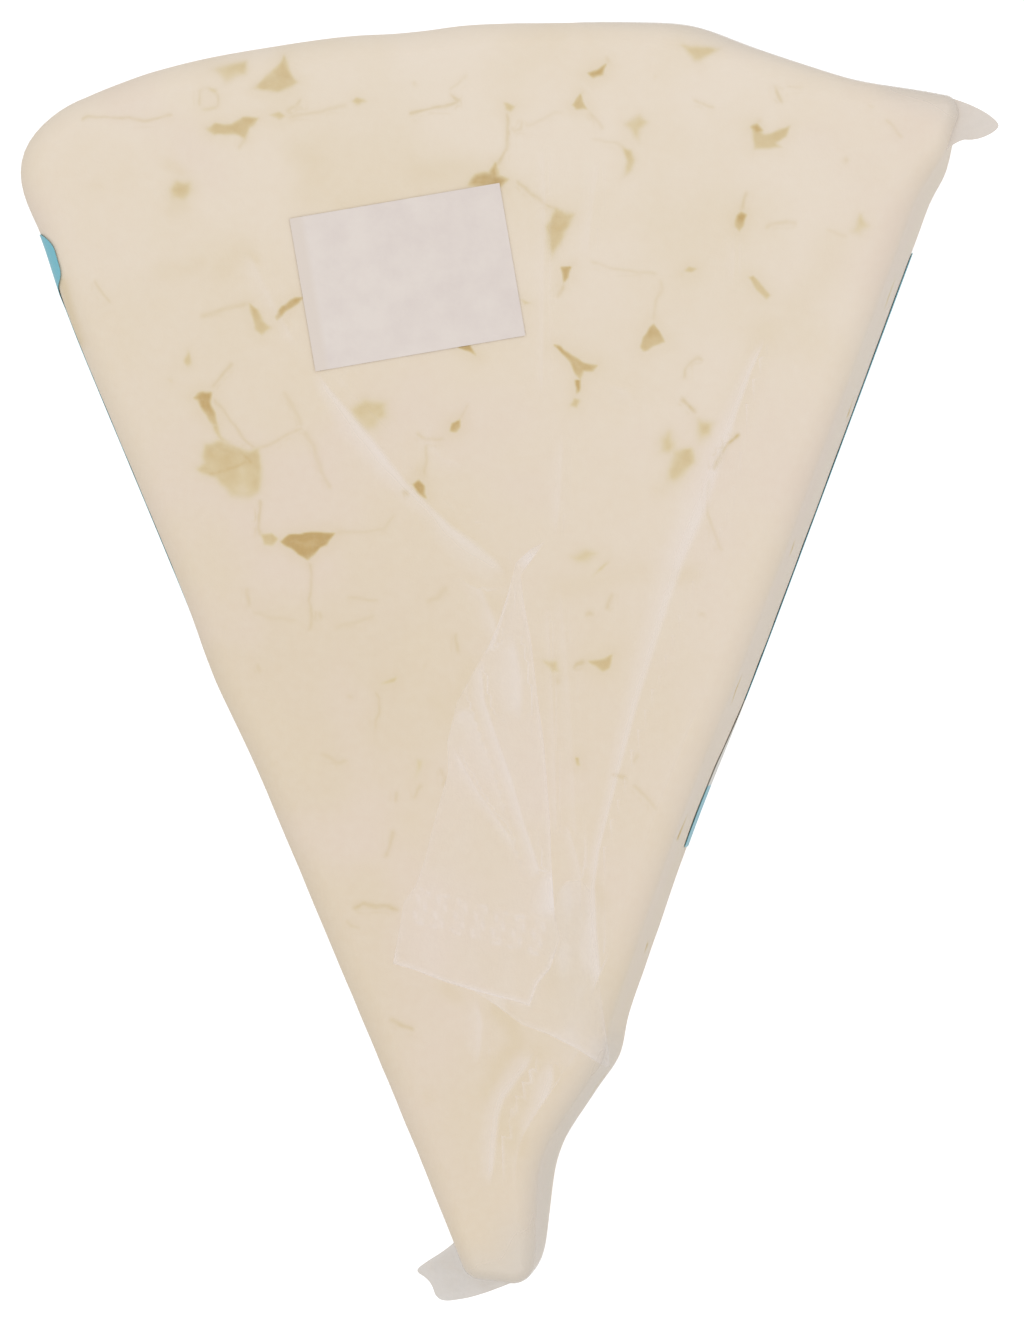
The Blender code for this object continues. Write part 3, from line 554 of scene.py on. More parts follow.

# %% [markdown]
# ## Gaps, cracks and stains in the curd, and painted shade in them
#
# Feta is pressed from loose curds, so it is full of small crooked gaps where the curds didn't close. Their
# colour is partly the olive of pooled whey and partly painted shade: the deep ones are painted honey brown,
# the shallow ones a pale olive, and each is painted darker towards its back edge. Between them run hairline
# cracks, painted darker the same way. They are listed one by one as they lie on the wedge, because random
# ones would look different at first sight. Each gap is an outline with its own darkness, depth and softness.

# %% The gaps: (darkness, depth, softness of the edge, corners)
CURD_GAPS = [
    (0.34, 0.9, 0.5, [(-30.9, 61.3), (-29.2, 62), (-27.4, 62.2), (-27.3, 60.7), (-28.5, 60.3),
        (-29.6, 59.8)]),
    (0.58, 2, 0.4, [(-23.5, 62.7), (-23, 61.1), (-22.1, 59.9), (-23, 59.4), (-24.2, 58.9), (-26.8, 59.3),
        (-25.3, 60.6), (-24, 61.9)]),
    (0.66, 1.8, 0.35, [(-31.6, 55.1), (-30.6, 55.7), (-29, 55.6), (-27.8, 56.3), (-26.2, 56.1),
        (-27.1, 55.3), (-27.6, 54.2), (-28.6, 54.6), (-30.8, 54.5)]),
    (0.45, 0.9, 0.25, [(-25.1, 56.5), (-24, 57), (-23.4, 56.5), (-24, 56)]),
    (0.35, 0.5, 0.3, [(-31.6, 59.3), (-30.5, 59.2), (-30.5, 58.6), (-31.2, 58.9)]),
    (0.28, 0.5, 0.3, [(-32.3, 57.1), (-30.9, 57.6), (-30.5, 57.3), (-31.8, 56.8)]),
    (0.5, 1.4, 0.8, [(-35.4, 48.8), (-34.6, 49.7), (-33.3, 49.5), (-33, 48.7), (-33.9, 47.8),
        (-35.2, 47.8)]),
    (0.62, 1.6, 0.35, [(-27.2, 37.1), (-26.3, 36.5), (-25.7, 35.3), (-24.9, 34.5), (-25.9, 33.8),
        (-26.6, 34.3), (-26.8, 35.6)]),
    (0.85, 1.4, 0.2, [(-24.5, 35.7), (-23.7, 36.8), (-22.4, 37.7), (-21.6, 37.7), (-22, 37.2),
        (-23.2, 36.3), (-24.3, 35.3)]),
    (0.4, 0.6, 0.3, [(-16.6, 58), (-16, 58.4), (-15, 58), (-15.8, 57.5)]),
    (0.95, 2.2, 0.45, [(-4.6, 49.3), (-3.8, 50.4), (-2.3, 50.6), (-1.7, 51.5), (-1.4, 50.3),
        (-0.5, 49.9), (-1, 49.1)]),
    (0.45, 0.8, 0.3, [(-0.9, 57.8), (0.3, 57.5), (-0.1, 56.9), (-0.7, 57)]),
    (0.9, 1.6, 0.25, [(7.8, 60.9), (8.7, 61.2), (9.7, 61.7), (9.3, 60.8), (8.4, 60.4)]),
    (0.75, 1.6, 0.25, [(6.2, 57.5), (7, 58.7), (7.3, 58), (7.8, 57.1), (6.5, 57.1)]),
    (0.36, 0.8, 0.5, [(11.6, 55.6), (12.4, 56.2), (13.2, 56.6), (14, 55.8), (13.3, 55), (13.1, 53.7),
        (12.3, 54.9)]),
    (0.42, 0.9, 0.4, [(11.5, 53.2), (12.3, 52.9), (12.8, 51.9), (12.4, 50.8), (11.5, 50.2), (11.8, 51.9)]),
    (0.42, 1.2, 0.5, [(17.5, 63.9), (21.5, 63.4), (20.3, 62.7), (19.4, 61.9), (18.7, 62.1), (18.3, 63)]),
    (0.5, 1.4, 0.35, [(24.8, 55.2), (26.1, 54.6), (27.2, 54.9), (28.8, 55.4), (28.3, 54.3), (27.4, 53.8),
        (27.9, 53.2), (24.9, 53)]),
    (0.9, 1.6, 0.3, [(24.7, 55.3), (25.3, 55.6), (25.9, 54.9), (25.3, 54.4)]),
    (0.85, 2, 0.25, [(23, 45), (23.3, 46.1), (23.7, 46.5), (24.2, 46.2), (23.9, 45.1), (23.4, 44.5)]),
    (0.35, 0.7, 0.6, [(36, 46.3), (37, 45), (35.9, 44.2), (35, 44.5)]),
    (0.55, 1.1, 0.25, [(24.4, 39.8), (24.9, 40), (26.7, 37.9), (26.3, 37.5), (25.3, 38.4)]),
    (0.9, 0.8, 0.2, [(-5.9, 32.8), (-4.5, 33.0), (-3.7, 31.7), (-4.6, 32.2), (-5.4, 32.4)]),
    (0.55, 0.9, 0.25, [(17.8, 40.4), (18.3, 40.9), (19.2, 40.7), (18.6, 40.3)]),
    (0.68, 2, 0.2, [(14.7, 35), (15.8, 33.2), (13.6, 32.1), (13.2, 32.6), (13.5, 33.6), (14.2, 34.6)]),
    (0.85, 2, 0.25, [(4.4, 32.8), (5.1, 32.6), (6.2, 31.7), (7.3, 31), (8.8, 30.7), (8.4, 30.1),
        (7.4, 30.1), (7, 29.1), (6.6, 30), (6, 31)]),
    (1, 2.2, 0.2, [(6.6, 29.1), (7, 29.1), (7, 28), (6.7, 27.8)]),
    (0.55, 1, 0.3, [(6.4, 27.3), (7, 27.1), (6.7, 26.3), (6, 26.5)]),
    (0.52, 2, 0.6, [(4.5, 46.8), (6.4, 46.2), (5.7, 44.8), (4.9, 43.1), (4, 41.6), (3.7, 43.6), (3.6, 45)]),
    (0.85, 1.8, 0.2, [(5.1, 40.8), (6.1, 40.9), (5.8, 39.8), (5.3, 39.2)]),
    (0.45, 0.8, 0.25, [(0.9, 37.5), (1.9, 37.1), (1.2, 36.8)]),
    (0.38, 0.8, 0.3, [(-33.5, 32.3), (-33, 31), (-33.5, 30.4), (-33.9, 31)]),
    (0.35, 0.4, 0.2, [(-35.5, 29.3), (-35, 29.2), (-35.1, 28.8)]),
    (0.85, 2.2, 0.3, [(-32.9, 27.4), (-32, 28), (-31, 27.8), (-31.2, 26.9), (-30.7, 25.6), (-30.4, 24.5),
        (-30.9, 24.6), (-31.9, 25.9), (-32.4, 27)]),
    (0.45, 1.4, 0.35, [(-30.9, 24.6), (-30.4, 24.6), (-30, 23.3), (-29, 22.7), (-30, 22.7), (-30.5, 23.1)]),
    (0.48, 2, 0.6, [(-32.1, 21.3), (-31.7, 22.5), (-30.5, 22.9), (-28.4, 22), (-27.1, 21.8),
        (-26.2, 22.2), (-25.8, 20), (-26, 17.5), (-27.1, 16.8), (-28.9, 17.1), (-29.8, 18),
        (-30.8, 19.1), (-31.8, 19.4), (-32.5, 20), (-31.9, 20.7)]),
    (0.6, 1, 0.3, [(-25.8, 13.2), (-24.8, 13.3), (-24.2, 12.8), (-24.8, 12), (-25.7, 12.2)]),
    (1, 3, 0.2, [(-23.9, 12.5), (-23, 13.2), (-20.9, 13.4), (-18.3, 13.4), (-19.1, 12.1), (-19.9, 11.9),
        (-21, 10.5), (-22.5, 11.5)]),
    (1, 1.6, 0.2, [(-6.4, 23.9), (-6.2, 24.7), (-5.4, 25), (-5.4, 24.3), (-5.8, 23.8)]),
    (1, 2.4, 0.25, [(-10.3, 18.4), (-9.6, 18.9), (-9.1, 18.3), (-8.8, 17), (-9.7, 17.5)]),
    (0.4, 1.2, 1, [(-16.6, 26.2), (-15.1, 27.1), (-13.1, 26.7), (-12.9, 25.4), (-14.1, 24),
        (-15.3, 23.8), (-16.4, 25.2)]),
    (0.55, 0.8, 0.9, [(-14.3, 25.8), (-13.3, 26.2), (-13, 25.2), (-13.9, 24.8)]),
    (0.45, 1, 0.8, [(15.5, 23.1), (16.2, 23.8), (17, 22.1), (16.3, 21.5), (15.3, 21.7)]),
    (0.6, 1.3, 0.9, [(16.9, 21.7), (18.3, 21.9), (18.7, 20.7), (17.5, 19.4), (16.7, 18.6), (16.1, 19)]),
    (0.45, 1, 0.9, [(19.2, 25), (20.6, 24.6), (20.4, 23.6), (19.4, 22.9)]),
    (0.5, 0.8, 0.6, [(3.3, 0.1), (4.5, -0.1), (4.9, -1), (4.1, -1.2)]),
    (0.7, 1.4, 0.3, [(7.8, 0.1), (9, 0.3), (10.4, 0.8), (10.1, -0.6), (9.3, -0.9)]),
    (0.4, 1, 0.7, [(6.1, 10.9), (7.6, 11.6), (8.7, 11.3), (8, 10.4), (6.8, 10.3)]),
    (0.5, 0.9, 0.3, [(8.2, 8.8), (9.5, 10.2), (9.9, 10.4), (9.3, 9.5)]),
    (0.7, 0.8, 0.2, [(6.6, -9.8), (6.9, -9.8), (7, -10.6), (6.7, -10.7)]),
    (0.5, 0.8, 0.25, [(-13.7, -2.4), (-12.7, -1.7), (-11.8, -1.4), (-12.2, -2.1)]),
    (0.35, 0.6, 0.4, [(-9.8, -10.1), (-9.2, -10.3), (-9.7, -11.7), (-10.1, -12.3)]),
]
print(len(CURD_GAPS), "gaps")

# %% The cracks: (darkness, width, places along it)
CRACKS = [
    (0.4, 0.28, [(-44.7, 55.9), (-43.9, 56.4), (-39.7, 56.2), (-37.7, 56), (-34.8, 56.6)]),
    (0.5, 0.35, [(-44.3, 56.1), (-43.7, 56.7)]),
    (0.32, 0.25, [(-43.3, 39.7), (-42.6, 38.5), (-41.3, 37)]),
    (0.3, 0.25, [(-30.4, 59.1), (-30.3, 57.6), (-30.9, 57.2)]),
    (0.3, 0.25, [(-31.6, 59.3), (-32.3, 59), (-32.3, 57.2)]),
    (0.3, 0.35, [(-23.4, 56.3), (-19.9, 56.9), (-16.8, 57.6)]),
    (0.35, 0.35, [(-23.6, 56.8), (-22.3, 57.5), (-21.6, 58.5)]),
    (0.3, 0.35, [(-27.1, 55.2), (-27.7, 53.9), (-28.5, 52.8)]),
    (0.35, 0.5, [(-32.5, 35.6), (-30.7, 36.2), (-28.7, 36.8), (-27.1, 37)]),
    (0.5, 0.3, [(-10.9, 56.6), (-9, 57.1), (-7, 57.4), (-5.6, 58), (-6.6, 58.9)]),
    (0.22, 0.3, [(-6.6, 58.9), (-5.6, 59.9), (-4.4, 60.9)]),
    (0.35, 0.4, [(-10.5, 59.5), (-9.6, 60.1)]),
    (0.5, 0.35, [(-1.6, 51.1), (-0.9, 52.4), (-0.5, 53.1), (-0.4, 54.4), (-0.5, 57)]),
    (0.28, 0.3, [(-0.4, 54.6), (0.9, 55.1), (1.2, 56.3)]),
    (0.2, 0.3, [(1.2, 55.2), (2.1, 55.6), (3.4, 56.2), (4.5, 56.8), (5.5, 57)]),
    (0.3, 0.25, [(9.7, 61.6), (10, 62.1), (9.6, 62.8)]),
    (0.3, 0.25, [(7, 58.6), (7.5, 59.3)]),
    (0.3, 0.35, [(7.8, 57), (9, 55.7), (9.5, 54.9)]),
    (0.22, 0.3, [(8, 54.1), (9.7, 53.8), (11, 53.6), (11.6, 53)]),
    (0.45, 0.35, [(0.3, 50), (1.8, 48.6), (3.4, 47.4), (4.9, 46.6)]),
    (0.3, 0.3, [(14.4, 60.5), (15.2, 60.5)]),
    (0.3, 0.3, [(18.5, 58.3), (19.5, 57.8), (21.2, 57.3)]),
    (0.45, 0.35, [(27.1, 59.9), (27.4, 58.9), (28.1, 57.6)]),
    (0.2, 0.3, [(28.1, 59.5), (30.3, 59.4)]),
    (0.3, 0.3, [(25.2, 55.5), (25.9, 56.4)]),
    (0.35, 0.45, [(34.1, 52.4), (35, 51.5)]),
    (0.28, 0.3, [(38.4, 56.3), (39.3, 55.5), (40.5, 53.9)]),
    (0.22, 0.3, [(36.7, 57.7), (37.7, 57.2)]),
    (0.45, 0.35, [(23.6, 46.4), (23.9, 47.5), (24.4, 48.9)]),
    (0.32, 0.4, [(26.1, 44.5), (26.6, 45.2), (28.3, 45.5), (29.7, 45.2)]),
    (0.22, 0.3, [(32.2, 44.8), (34.9, 43.9)]),
    (0.25, 0.25, [(7.8, 41.5), (9.6, 40.9), (12.3, 40.4), (15.2, 40.1)]),
    (0.28, 0.3, [(15.2, 39.8), (15.5, 38.6), (14.9, 37.4), (14.5, 35.1)]),
    (0.3, 0.25, [(17.8, 40.4), (17.3, 39.9)]),
    (0.45, 0.3, [(5.4, 39.3), (5, 38.4), (4.5, 37.5)]),
    (0.4, 0.3, [(17.7, 28.9), (17.9, 30.2), (18.5, 31.1), (19.2, 31.5), (20, 31)]),
    (0.65, 0.45, [(17.3, 27.5), (18.3, 26.5), (19.2, 25.7)]),
    (0.9, 0.35, [(23.7, 23.8), (22.2, 22.4), (21.4, 21.1), (20.7, 19.6)]),
    (0.28, 0.28, [(20.5, 19.2), (20.1, 16.7), (20.2, 15.2), (20.8, 13.6), (21.8, 11.3)]),
    (0.45, 0.35, [(-31.1, 28.2), (-30, 29.6), (-28.6, 31.2)]),
    (0.38, 0.3, [(-30.9, 27.5), (-29, 24.9), (-27.3, 22.7), (-26.3, 22)]),
    (0.35, 0.28, [(-26.3, 22.1), (-24.5, 22.7), (-23, 23.7), (-21.6, 24.2)]),
    (0.6, 0.3, [(-22.1, 24), (-21.5, 24.3)]),
    (0.3, 0.5, [(-21.7, 24.2), (-20.5, 22.4), (-19.7, 19.8), (-18.6, 17.6)]),
    (0.28, 0.5, [(-23.7, 28.3), (-22.4, 26), (-21.6, 24.3)]),
    (0.5, 0.3, [(-30.5, 22.8), (-29, 22.4), (-27.5, 21.4), (-26.8, 20.4)]),
    (0.5, 0.3, [(-31.7, 19.4), (-29.7, 19.8), (-27.1, 20.9)]),
    (0.5, 0.3, [(-25.9, 17), (-26.1, 15.5), (-26.2, 13.7), (-25.7, 12.9)]),
    (0.45, 0.3, [(-24.3, 12.6), (-23.7, 12.5)]),
    (0.25, 0.3, [(-18.4, 13.4), (-15.2, 13.5), (-13.2, 13.8), (-11.9, 15.5)]),
    (0.42, 0.3, [(-21, 10.5), (-20.7, 9.3), (-20.8, 7.4), (-21, 6.3), (-20.6, 4.8), (-20.9, 3.1)]),
    (0.5, 0.5, [(-20.9, 4.1), (-20.9, 3.3)]),
    (0.35, 0.3, [(-20, 5.6), (-19.7, 4.1)]),
    (0.35, 0.4, [(-27.4, 8), (-27.3, 6.6), (-27, 5.4)]),
    (0.45, 0.4, [(-30, 3.4), (-29.4, 3.8)]),
    (0.28, 0.3, [(-17.3, 6.8), (-15.8, 6.6), (-13.6, 6.4)]),
    (0.3, 0.6, [(-9.1, 6.1), (-7.7, 6.7), (-6.5, 8)]),
    (0.22, 0.4, [(-18.6, 3.5), (-16.3, 4.1), (-13.9, 5)]),
    (0.2, 0.4, [(-22, 4.3), (-25.1, 4.6), (-27.1, 5.4)]),
    (0.25, 0.25, [(-5.5, 24.9), (-5.1, 25.8), (-4.3, 26.9)]),
    (0.35, 0.28, [(-10, 23.9), (-8.8, 23), (-7.5, 23.1), (-6.8, 23.3)]),
    (0.35, 0.3, [(-8.8, 22.9), (-8.8, 21.4), (-9.1, 19)]),
    (0.85, 0.3, [(-11.3, 18.1), (-10.5, 17)]),
    (0.4, 0.3, [(-5.9, 3.3), (-5.7, 2), (-5.5, 0.6)]),
    (0.6, 0.35, [(-5.8, 2.6), (-5.7, 2.1)]),
    (0.45, 0.35, [(-9.3, -0.3), (-8.7, -0.5)]),
    (0.35, 0.25, [(-14.3, -2.9), (-13.7, -3.7), (-13.7, -5.1), (-14, -6.1), (-14.1, -7.1)]),
    (0.7, 0.3, [(-14.4, -7.2), (-13.9, -7.1)]),
    (0.3, 0.25, [(-17.3, -3.3), (-16.1, -3.7)]),
    (0.3, 0.3, [(-20.1, -9.4), (-18.9, -9.8), (-17.8, -10.4), (-16.7, -10)]),
    (0.35, 0.4, [(-24.9, -10.3), (-24.6, -10.9)]),
    (0.3, 0.3, [(-26.4, 0), (-25.9, -1.4)]),
    (0.35, 0.3, [(-9.1, -12.3), (-9.8, -13.2), (-10.2, -14.5)]),
    (0.35, 0.3, [(-7.6, -10.7), (-6.9, -11.9), (-7.3, -13.1)]),
    (0.4, 0.3, [(-11.8, -13), (-12.1, -14.7)]),
    (0.42, 0.35, [(-12.2, -17.1), (-12.6, -18.9), (-13.2, -20.4)]),
    (0.6, 0.45, [(-16.6, -25.7), (-15.4, -24.9), (-14.1, -25.2), (-12.7, -25.2), (-11.6, -25.7)]),
    (0.9, 0.3, [(-15.9, -25), (-15, -24.8)]),
    (0.9, 0.4, [(-12.2, -25.4), (-11.6, -25.8)]),
    (0.35, 0.3, [(-17.3, -26.4), (-16.6, -27.2), (-15.6, -27.7)]),
    (0.55, 0.35, [(10.1, -11.5), (11.1, -11.7), (12.2, -12)]),
    (0.32, 0.3, [(12.3, -12.5), (13.7, -13.7), (15.1, -15.4)]),
    (0.25, 0.4, [(13.3, -9.2), (12.4, -10.6)]),
    (0.55, 0.45, [(6.2, -1), (6.7, -0.2), (7.8, 0.1)]),
    (0.35, 0.45, [(4.6, -1.2), (4.9, -2.5)]),
    (0.45, 0.4, [(7.3, 4.8), (8, 5.1), (8.8, 4.8)]),
    (0.42, 0.45, [(9.6, 5.1), (10.1, 6.3), (10.4, 7.4)]),
    (0.28, 0.35, [(19, 4.8), (20.2, 5.1)]),
    (0.5, 0.35, [(-12.9, -36.8), (-11.4, -37.4), (-9.8, -38.1)]),
]
print(len(CRACKS), "cracks")

# %% Whey stains, and painted shade beside the film's folds and along the rims: (darkness, width, places along it)
STAINS_AND_SHADE = [
    (0.3, 0.8, [(-35.6, 51.5), (-34.1, 50.6)]),
    (0.28, 0.9, [(-35.2, 46.9), (-34, 47.3)]),
    (0.16, 0.6, [(-43.3, 49.1), (-42.5, 49.4)]),
    (0.22, 0.9, [(-36.4, 40.4), (-33.3, 40.7), (-32.3, 41.3)]),
    (0.2, 1.2, [(-30, 40.5), (-27.6, 42.8)]),
    (0.35, 0.5, [(-26.9, 42.4), (-26.5, 41.6)]),
    (0.25, 1.6, [(-3.4, 50.6), (-5.9, 51), (-9.6, 50.6)]),
    (0.18, 1.5, [(-22, 52.9), (-20.1, 51.3), (-21.1, 48.2)]),
    (0.15, 1.5, [(-17.3, 47.2), (-13.7, 47.4)]),
    (0.3, 0.5, [(-10, 51), (-9.8, 50.4)]),
    (0.35, 0.8, [(-9.6, 19.8), (-9.2, 18.8)]),
    (0.22, 1.2, [(-8.3, 15.2), (-5.9, 13.1), (-3.4, 10.9), (-0.7, 9.1)]),
    (0.2, 1.4, [(4.9, 7.4), (9, 8.5), (13.2, 9.5)]),
    (0.25, 0.8, [(15.2, 17.8), (16.5, 18.8)]),
    (0.3, 1, [(16.9, 8.9), (18.6, 9.2)]),
    (0.2, 1.6, [(23, 26), (24.7, 31.2), (26.1, 34.3)]),
    (0.18, 2, [(29.7, 37.4), (32.4, 40.5), (33, 43.1)]),
    (0.25, 0.8, [(8.2, -22.5), (9.2, -24.6)]),
    (0.42, 1, [(-1.6, -35.9), (0.1, -37.4), (0.5, -39.3), (-0.7, -40.7), (-1.6, -41.7)]),
    (0.35, 0.9, [(-1.6, -41.9), (-1.8, -43.2), (-2.4, -44.4)]),
    (0.3, 0.9, [(-6.9, -33.4), (-5.8, -34.5)]),
    (0.26, 1.2, [(2.8, -40.3), (2.6, -41.5)]),
    (0.26, 1.2, [(0.9, -42.7), (0.6, -45.2)]),
    (0.28, 1.2, [(-0.1, -48.1), (0.6, -50)]),
    (0.28, 0.7, [(-1, -45.8), (-1.2, -49.4)]),
    (0.24, 0.8, [(4.2, -43.7), (4.9, -42.1)]),
    (0.22, 0.6, [(-8.7, -44.6), (-8.6, -45.2)]),
    (0.2, 1, [(7.5, -32.8), (7, -34.9)]),
    (0.2, 1.2, [(3.9, -33.4), (4.9, -31.8)]),
    (0.7, 0.6, [(-46.5, 39.3), (-45.7, 36.2), (-44.8, 33.1)]),
    (0.5, 0.7, [(42.2, 44.8), (41.3, 41.9)]),
    (0.2, 1.2, [(-2.8, 6.4), (-1.3, 5.8)]),
    (0.2, 0.9, [(-7.8, -3.9), (-6.7, -5.5)]),
    (0.2, 0.8, [(-5.9, -3.9), (-4.9, -1.9), (-4.4, -0.3)]),
]
print(len(STAINS_AND_SHADE), "stains")

# %% How gaps, cracks, stains and their painted shade act on the upper side
GAP_SHALLOW = 0.16
GAP_BANK = 1.1
GAP_LIP = 0.2
GAP_REACH = 3.5
GAP_UNEVEN = 0.35
GAP_UNEVEN_SIZE = 1.5
GAP_SHADOW_SIDE = 0.55
GAP_HALO = 0.30
GAP_HALO_WIDTH = 1.0
CRACK_DEPTH = 0.05
CRACK_REACH = 0.9
CRACK_END = 0.6
CRACK_FAR = 6.0
CRACK_NARROW = 0.62
CRACK_BOWL = 2
CRACK_CLOSENESS = 0.7
MARKS_FROM_TOP = 2
STAIN_AND_SHADE_REACH = 3.0
WARP = 0.16
WARP_SIZE = 0.9
WARP_SEEDS = (1, 2)


def warped(points):
    """Points shifted a little at random, so that no edge is a ruled line."""
    flat = np.column_stack([points, np.zeros(len(points))])
    shift = np.column_stack([rough(flat, WARP_SIZE, seed) for seed in WARP_SEEDS])
    return points + shift * WARP


# A gap's darkness is partly the olive of pooled whey and partly painted shade in its hollow.
def darkened(tone, inside, soft):
    """How dark a gap is at points some way inside its outline."""
    return tone * eased(0.5 + 0.5 * inside / soft)


def sunken(deep, inside):
    """How far a gap has sunk at points some way inside its outline."""
    return deep * GAP_SHALLOW * eased((inside + GAP_LIP) / GAP_BANK)


def curd_gaps(points):
    """(depth, darkness, paler halo) of the gaps at points of the upper side."""
    places = warped(points)
    depth, dark, halo = np.zeros(len(points)), np.zeros(len(points)), np.zeros(len(points))
    uneven = 1 + GAP_UNEVEN * rough(np.column_stack([points, depth]), GAP_UNEVEN_SIZE, seed=7)
    for tone, deep, soft, corners in CURD_GAPS:
        near = nearby(places, corners, GAP_REACH)
        inside = inside_by(places[near], corners)
        lowest, highest = min(y for _, y in corners), max(y for _, y in corners)
        # Painted shade: each gap is darker towards its back edge, its shadow side.
        up = np.clip((places[near, 1] - lowest) / (highest - lowest), 0, 1) - 0.5
        shade = darkened(tone, inside, soft) * uneven[near] * (1 + GAP_SHADOW_SIDE * up)
        dark[near] = np.maximum(dark[near], shade)
        around = GAP_HALO * tone * np.exp(-((np.clip(-inside, 0, None) / GAP_HALO_WIDTH) ** 2))
        halo[near] = np.maximum(halo[near], around)
        depth[near] = np.maximum(depth[near], sunken(deep, inside))
    return depth, np.clip(dark, 0, 1), halo


def curd_cracks(points):
    """(strength, place across, depth) of the nearest crack at points of the upper side.

    The place across a crack is signed, so that the shader can draw a line far finer than the grid.
    """
    places = warped(points)
    strength, across = np.zeros(len(points)), np.full(len(points), CRACK_FAR)
    for tone, width, line in CRACKS:
        near = nearby(places, line, CRACK_REACH)
        distance, side, way = from_line(places[near], line)
        length = np.hypot(*np.diff(np.asarray(line), axis=0).T).sum()
        ends = eased(np.minimum(way, 1 - way) * length / CRACK_END)
        here = tone * ends * eased(1 - distance / CRACK_REACH)
        stronger = here > strength[near]
        chosen = near[stronger]
        strength[chosen] = here[stronger]
        placed = side * distance / (width * CRACK_NARROW)
        across[chosen] = np.clip(placed, -CRACK_FAR, CRACK_FAR)[stronger]
    return strength, across, CRACK_DEPTH * strength * np.exp(-((across / CRACK_BOWL) ** 2))


def stain_and_shade_at(points):
    """How dark the whey stains and the painted shade beside folds and rims are at points seen from above."""
    stain_and_shade = np.zeros(len(points))
    for tone, width, line in STAINS_AND_SHADE:
        near = nearby(points, line, STAIN_AND_SHADE_REACH)
        distance, _, way = from_line(points[near], line)
        stain_and_shade[near] = np.maximum(stain_and_shade[near], tone * np.exp(-((distance / width) ** 2)))
    return stain_and_shade


def near_top_marks(points, reach):
    """Whether points lie on the upper side and near a gap or crack."""
    close = np.zeros(len(points), bool)
    flat = points[:, :2]
    for _, _, _, corners in CURD_GAPS:
        near = nearby(flat, corners, reach)
        close[near] |= inside_by(flat[near], corners) > -reach
    for _, _, line in CRACKS:
        near = nearby(flat, line, reach)
        close[near] |= from_line(flat[near], line)[0] < reach * CRACK_CLOSENESS
    return close & (points[:, 2] > THICKNESS - MARKS_FROM_TOP)


probe = curd_gaps(np.array([(-21.3, 12.4), (40.0, 0.0)]))
print("depth in the big gap:", round(float(probe[0][0]), 2), "mm")

# %% [markdown]
# The walls have the same gaps. No photograph shows them, so they are drawn at random with a fixed seed,
# clear of both labels, in the same places as in the solid.

# %% Gaps in the walls
TOP_GAP_CORNERS = (4, 3, 4, 5, 3, 4, 3, 4, 5, 3, 4, 3, 3, 3, 4, 5, 3, 5, 5, 3, 4, 5, 3, 4)
CORNER_CLEARANCE = 8
WALL_GAPS = 26
WALL_GAP_LENGTH = (2.0, 5.5)
WALL_GAP_DEPTH = (0.8, 2.0)
LABEL_CLEARANCE = 6
WALL_GAP_TONE = (0.35, 0.95)
WALL_GAP_SHIFT = (0.1, 0.9)
WALL_GAP_SLIMNESS = (0.4, 0.8)
WALL_GAP_CORNERS = (3, 4, 5)
WALL_GAP_SOFTNESS = 0.4
WALL_GAP_REACH = 6
CORNER_JITTER = (0.85, 1.15)
GAP_SEED = 8
TONE_SEED = 5
SOLID_STEP = 3.2
SOLID_CORNER_STEPS = 5
FACES_SIDEWAYS = 0.5
# The coloured label's edge on each cut side, from back to front: corners (y, height, rounding).
LABEL_ON_LEFT = [
    (44.3, 30.4, 1.6),
    (39.8, 30.3, 2.0),
    (38.0, 28.0, 1.5),
    (36.6, 15.0, 4.0),
    (10.0, 15.5, 3.0),
    (5.0, 9.0, 3.0),
]
LABEL_ON_RIGHT = [
    (43.5, 5.0, 2.0),
    (20.0, 3.2, 4.0),
    (-5.0, 3.0, 3.0),
    (-10.5, 9.8, 3.0),
    (-15.0, 10.8, 4.0),
    (-19.5, 10.6, 0.3),
]


def label_height(y, side):
    """How high the coloured label reaches on one cut side."""
    edge = LABEL_ON_LEFT if side < 0 else LABEL_ON_RIGHT
    ways, heights, _ = zip(*reversed(edge))
    return np.interp(y, ways, heights, left=0, right=0)


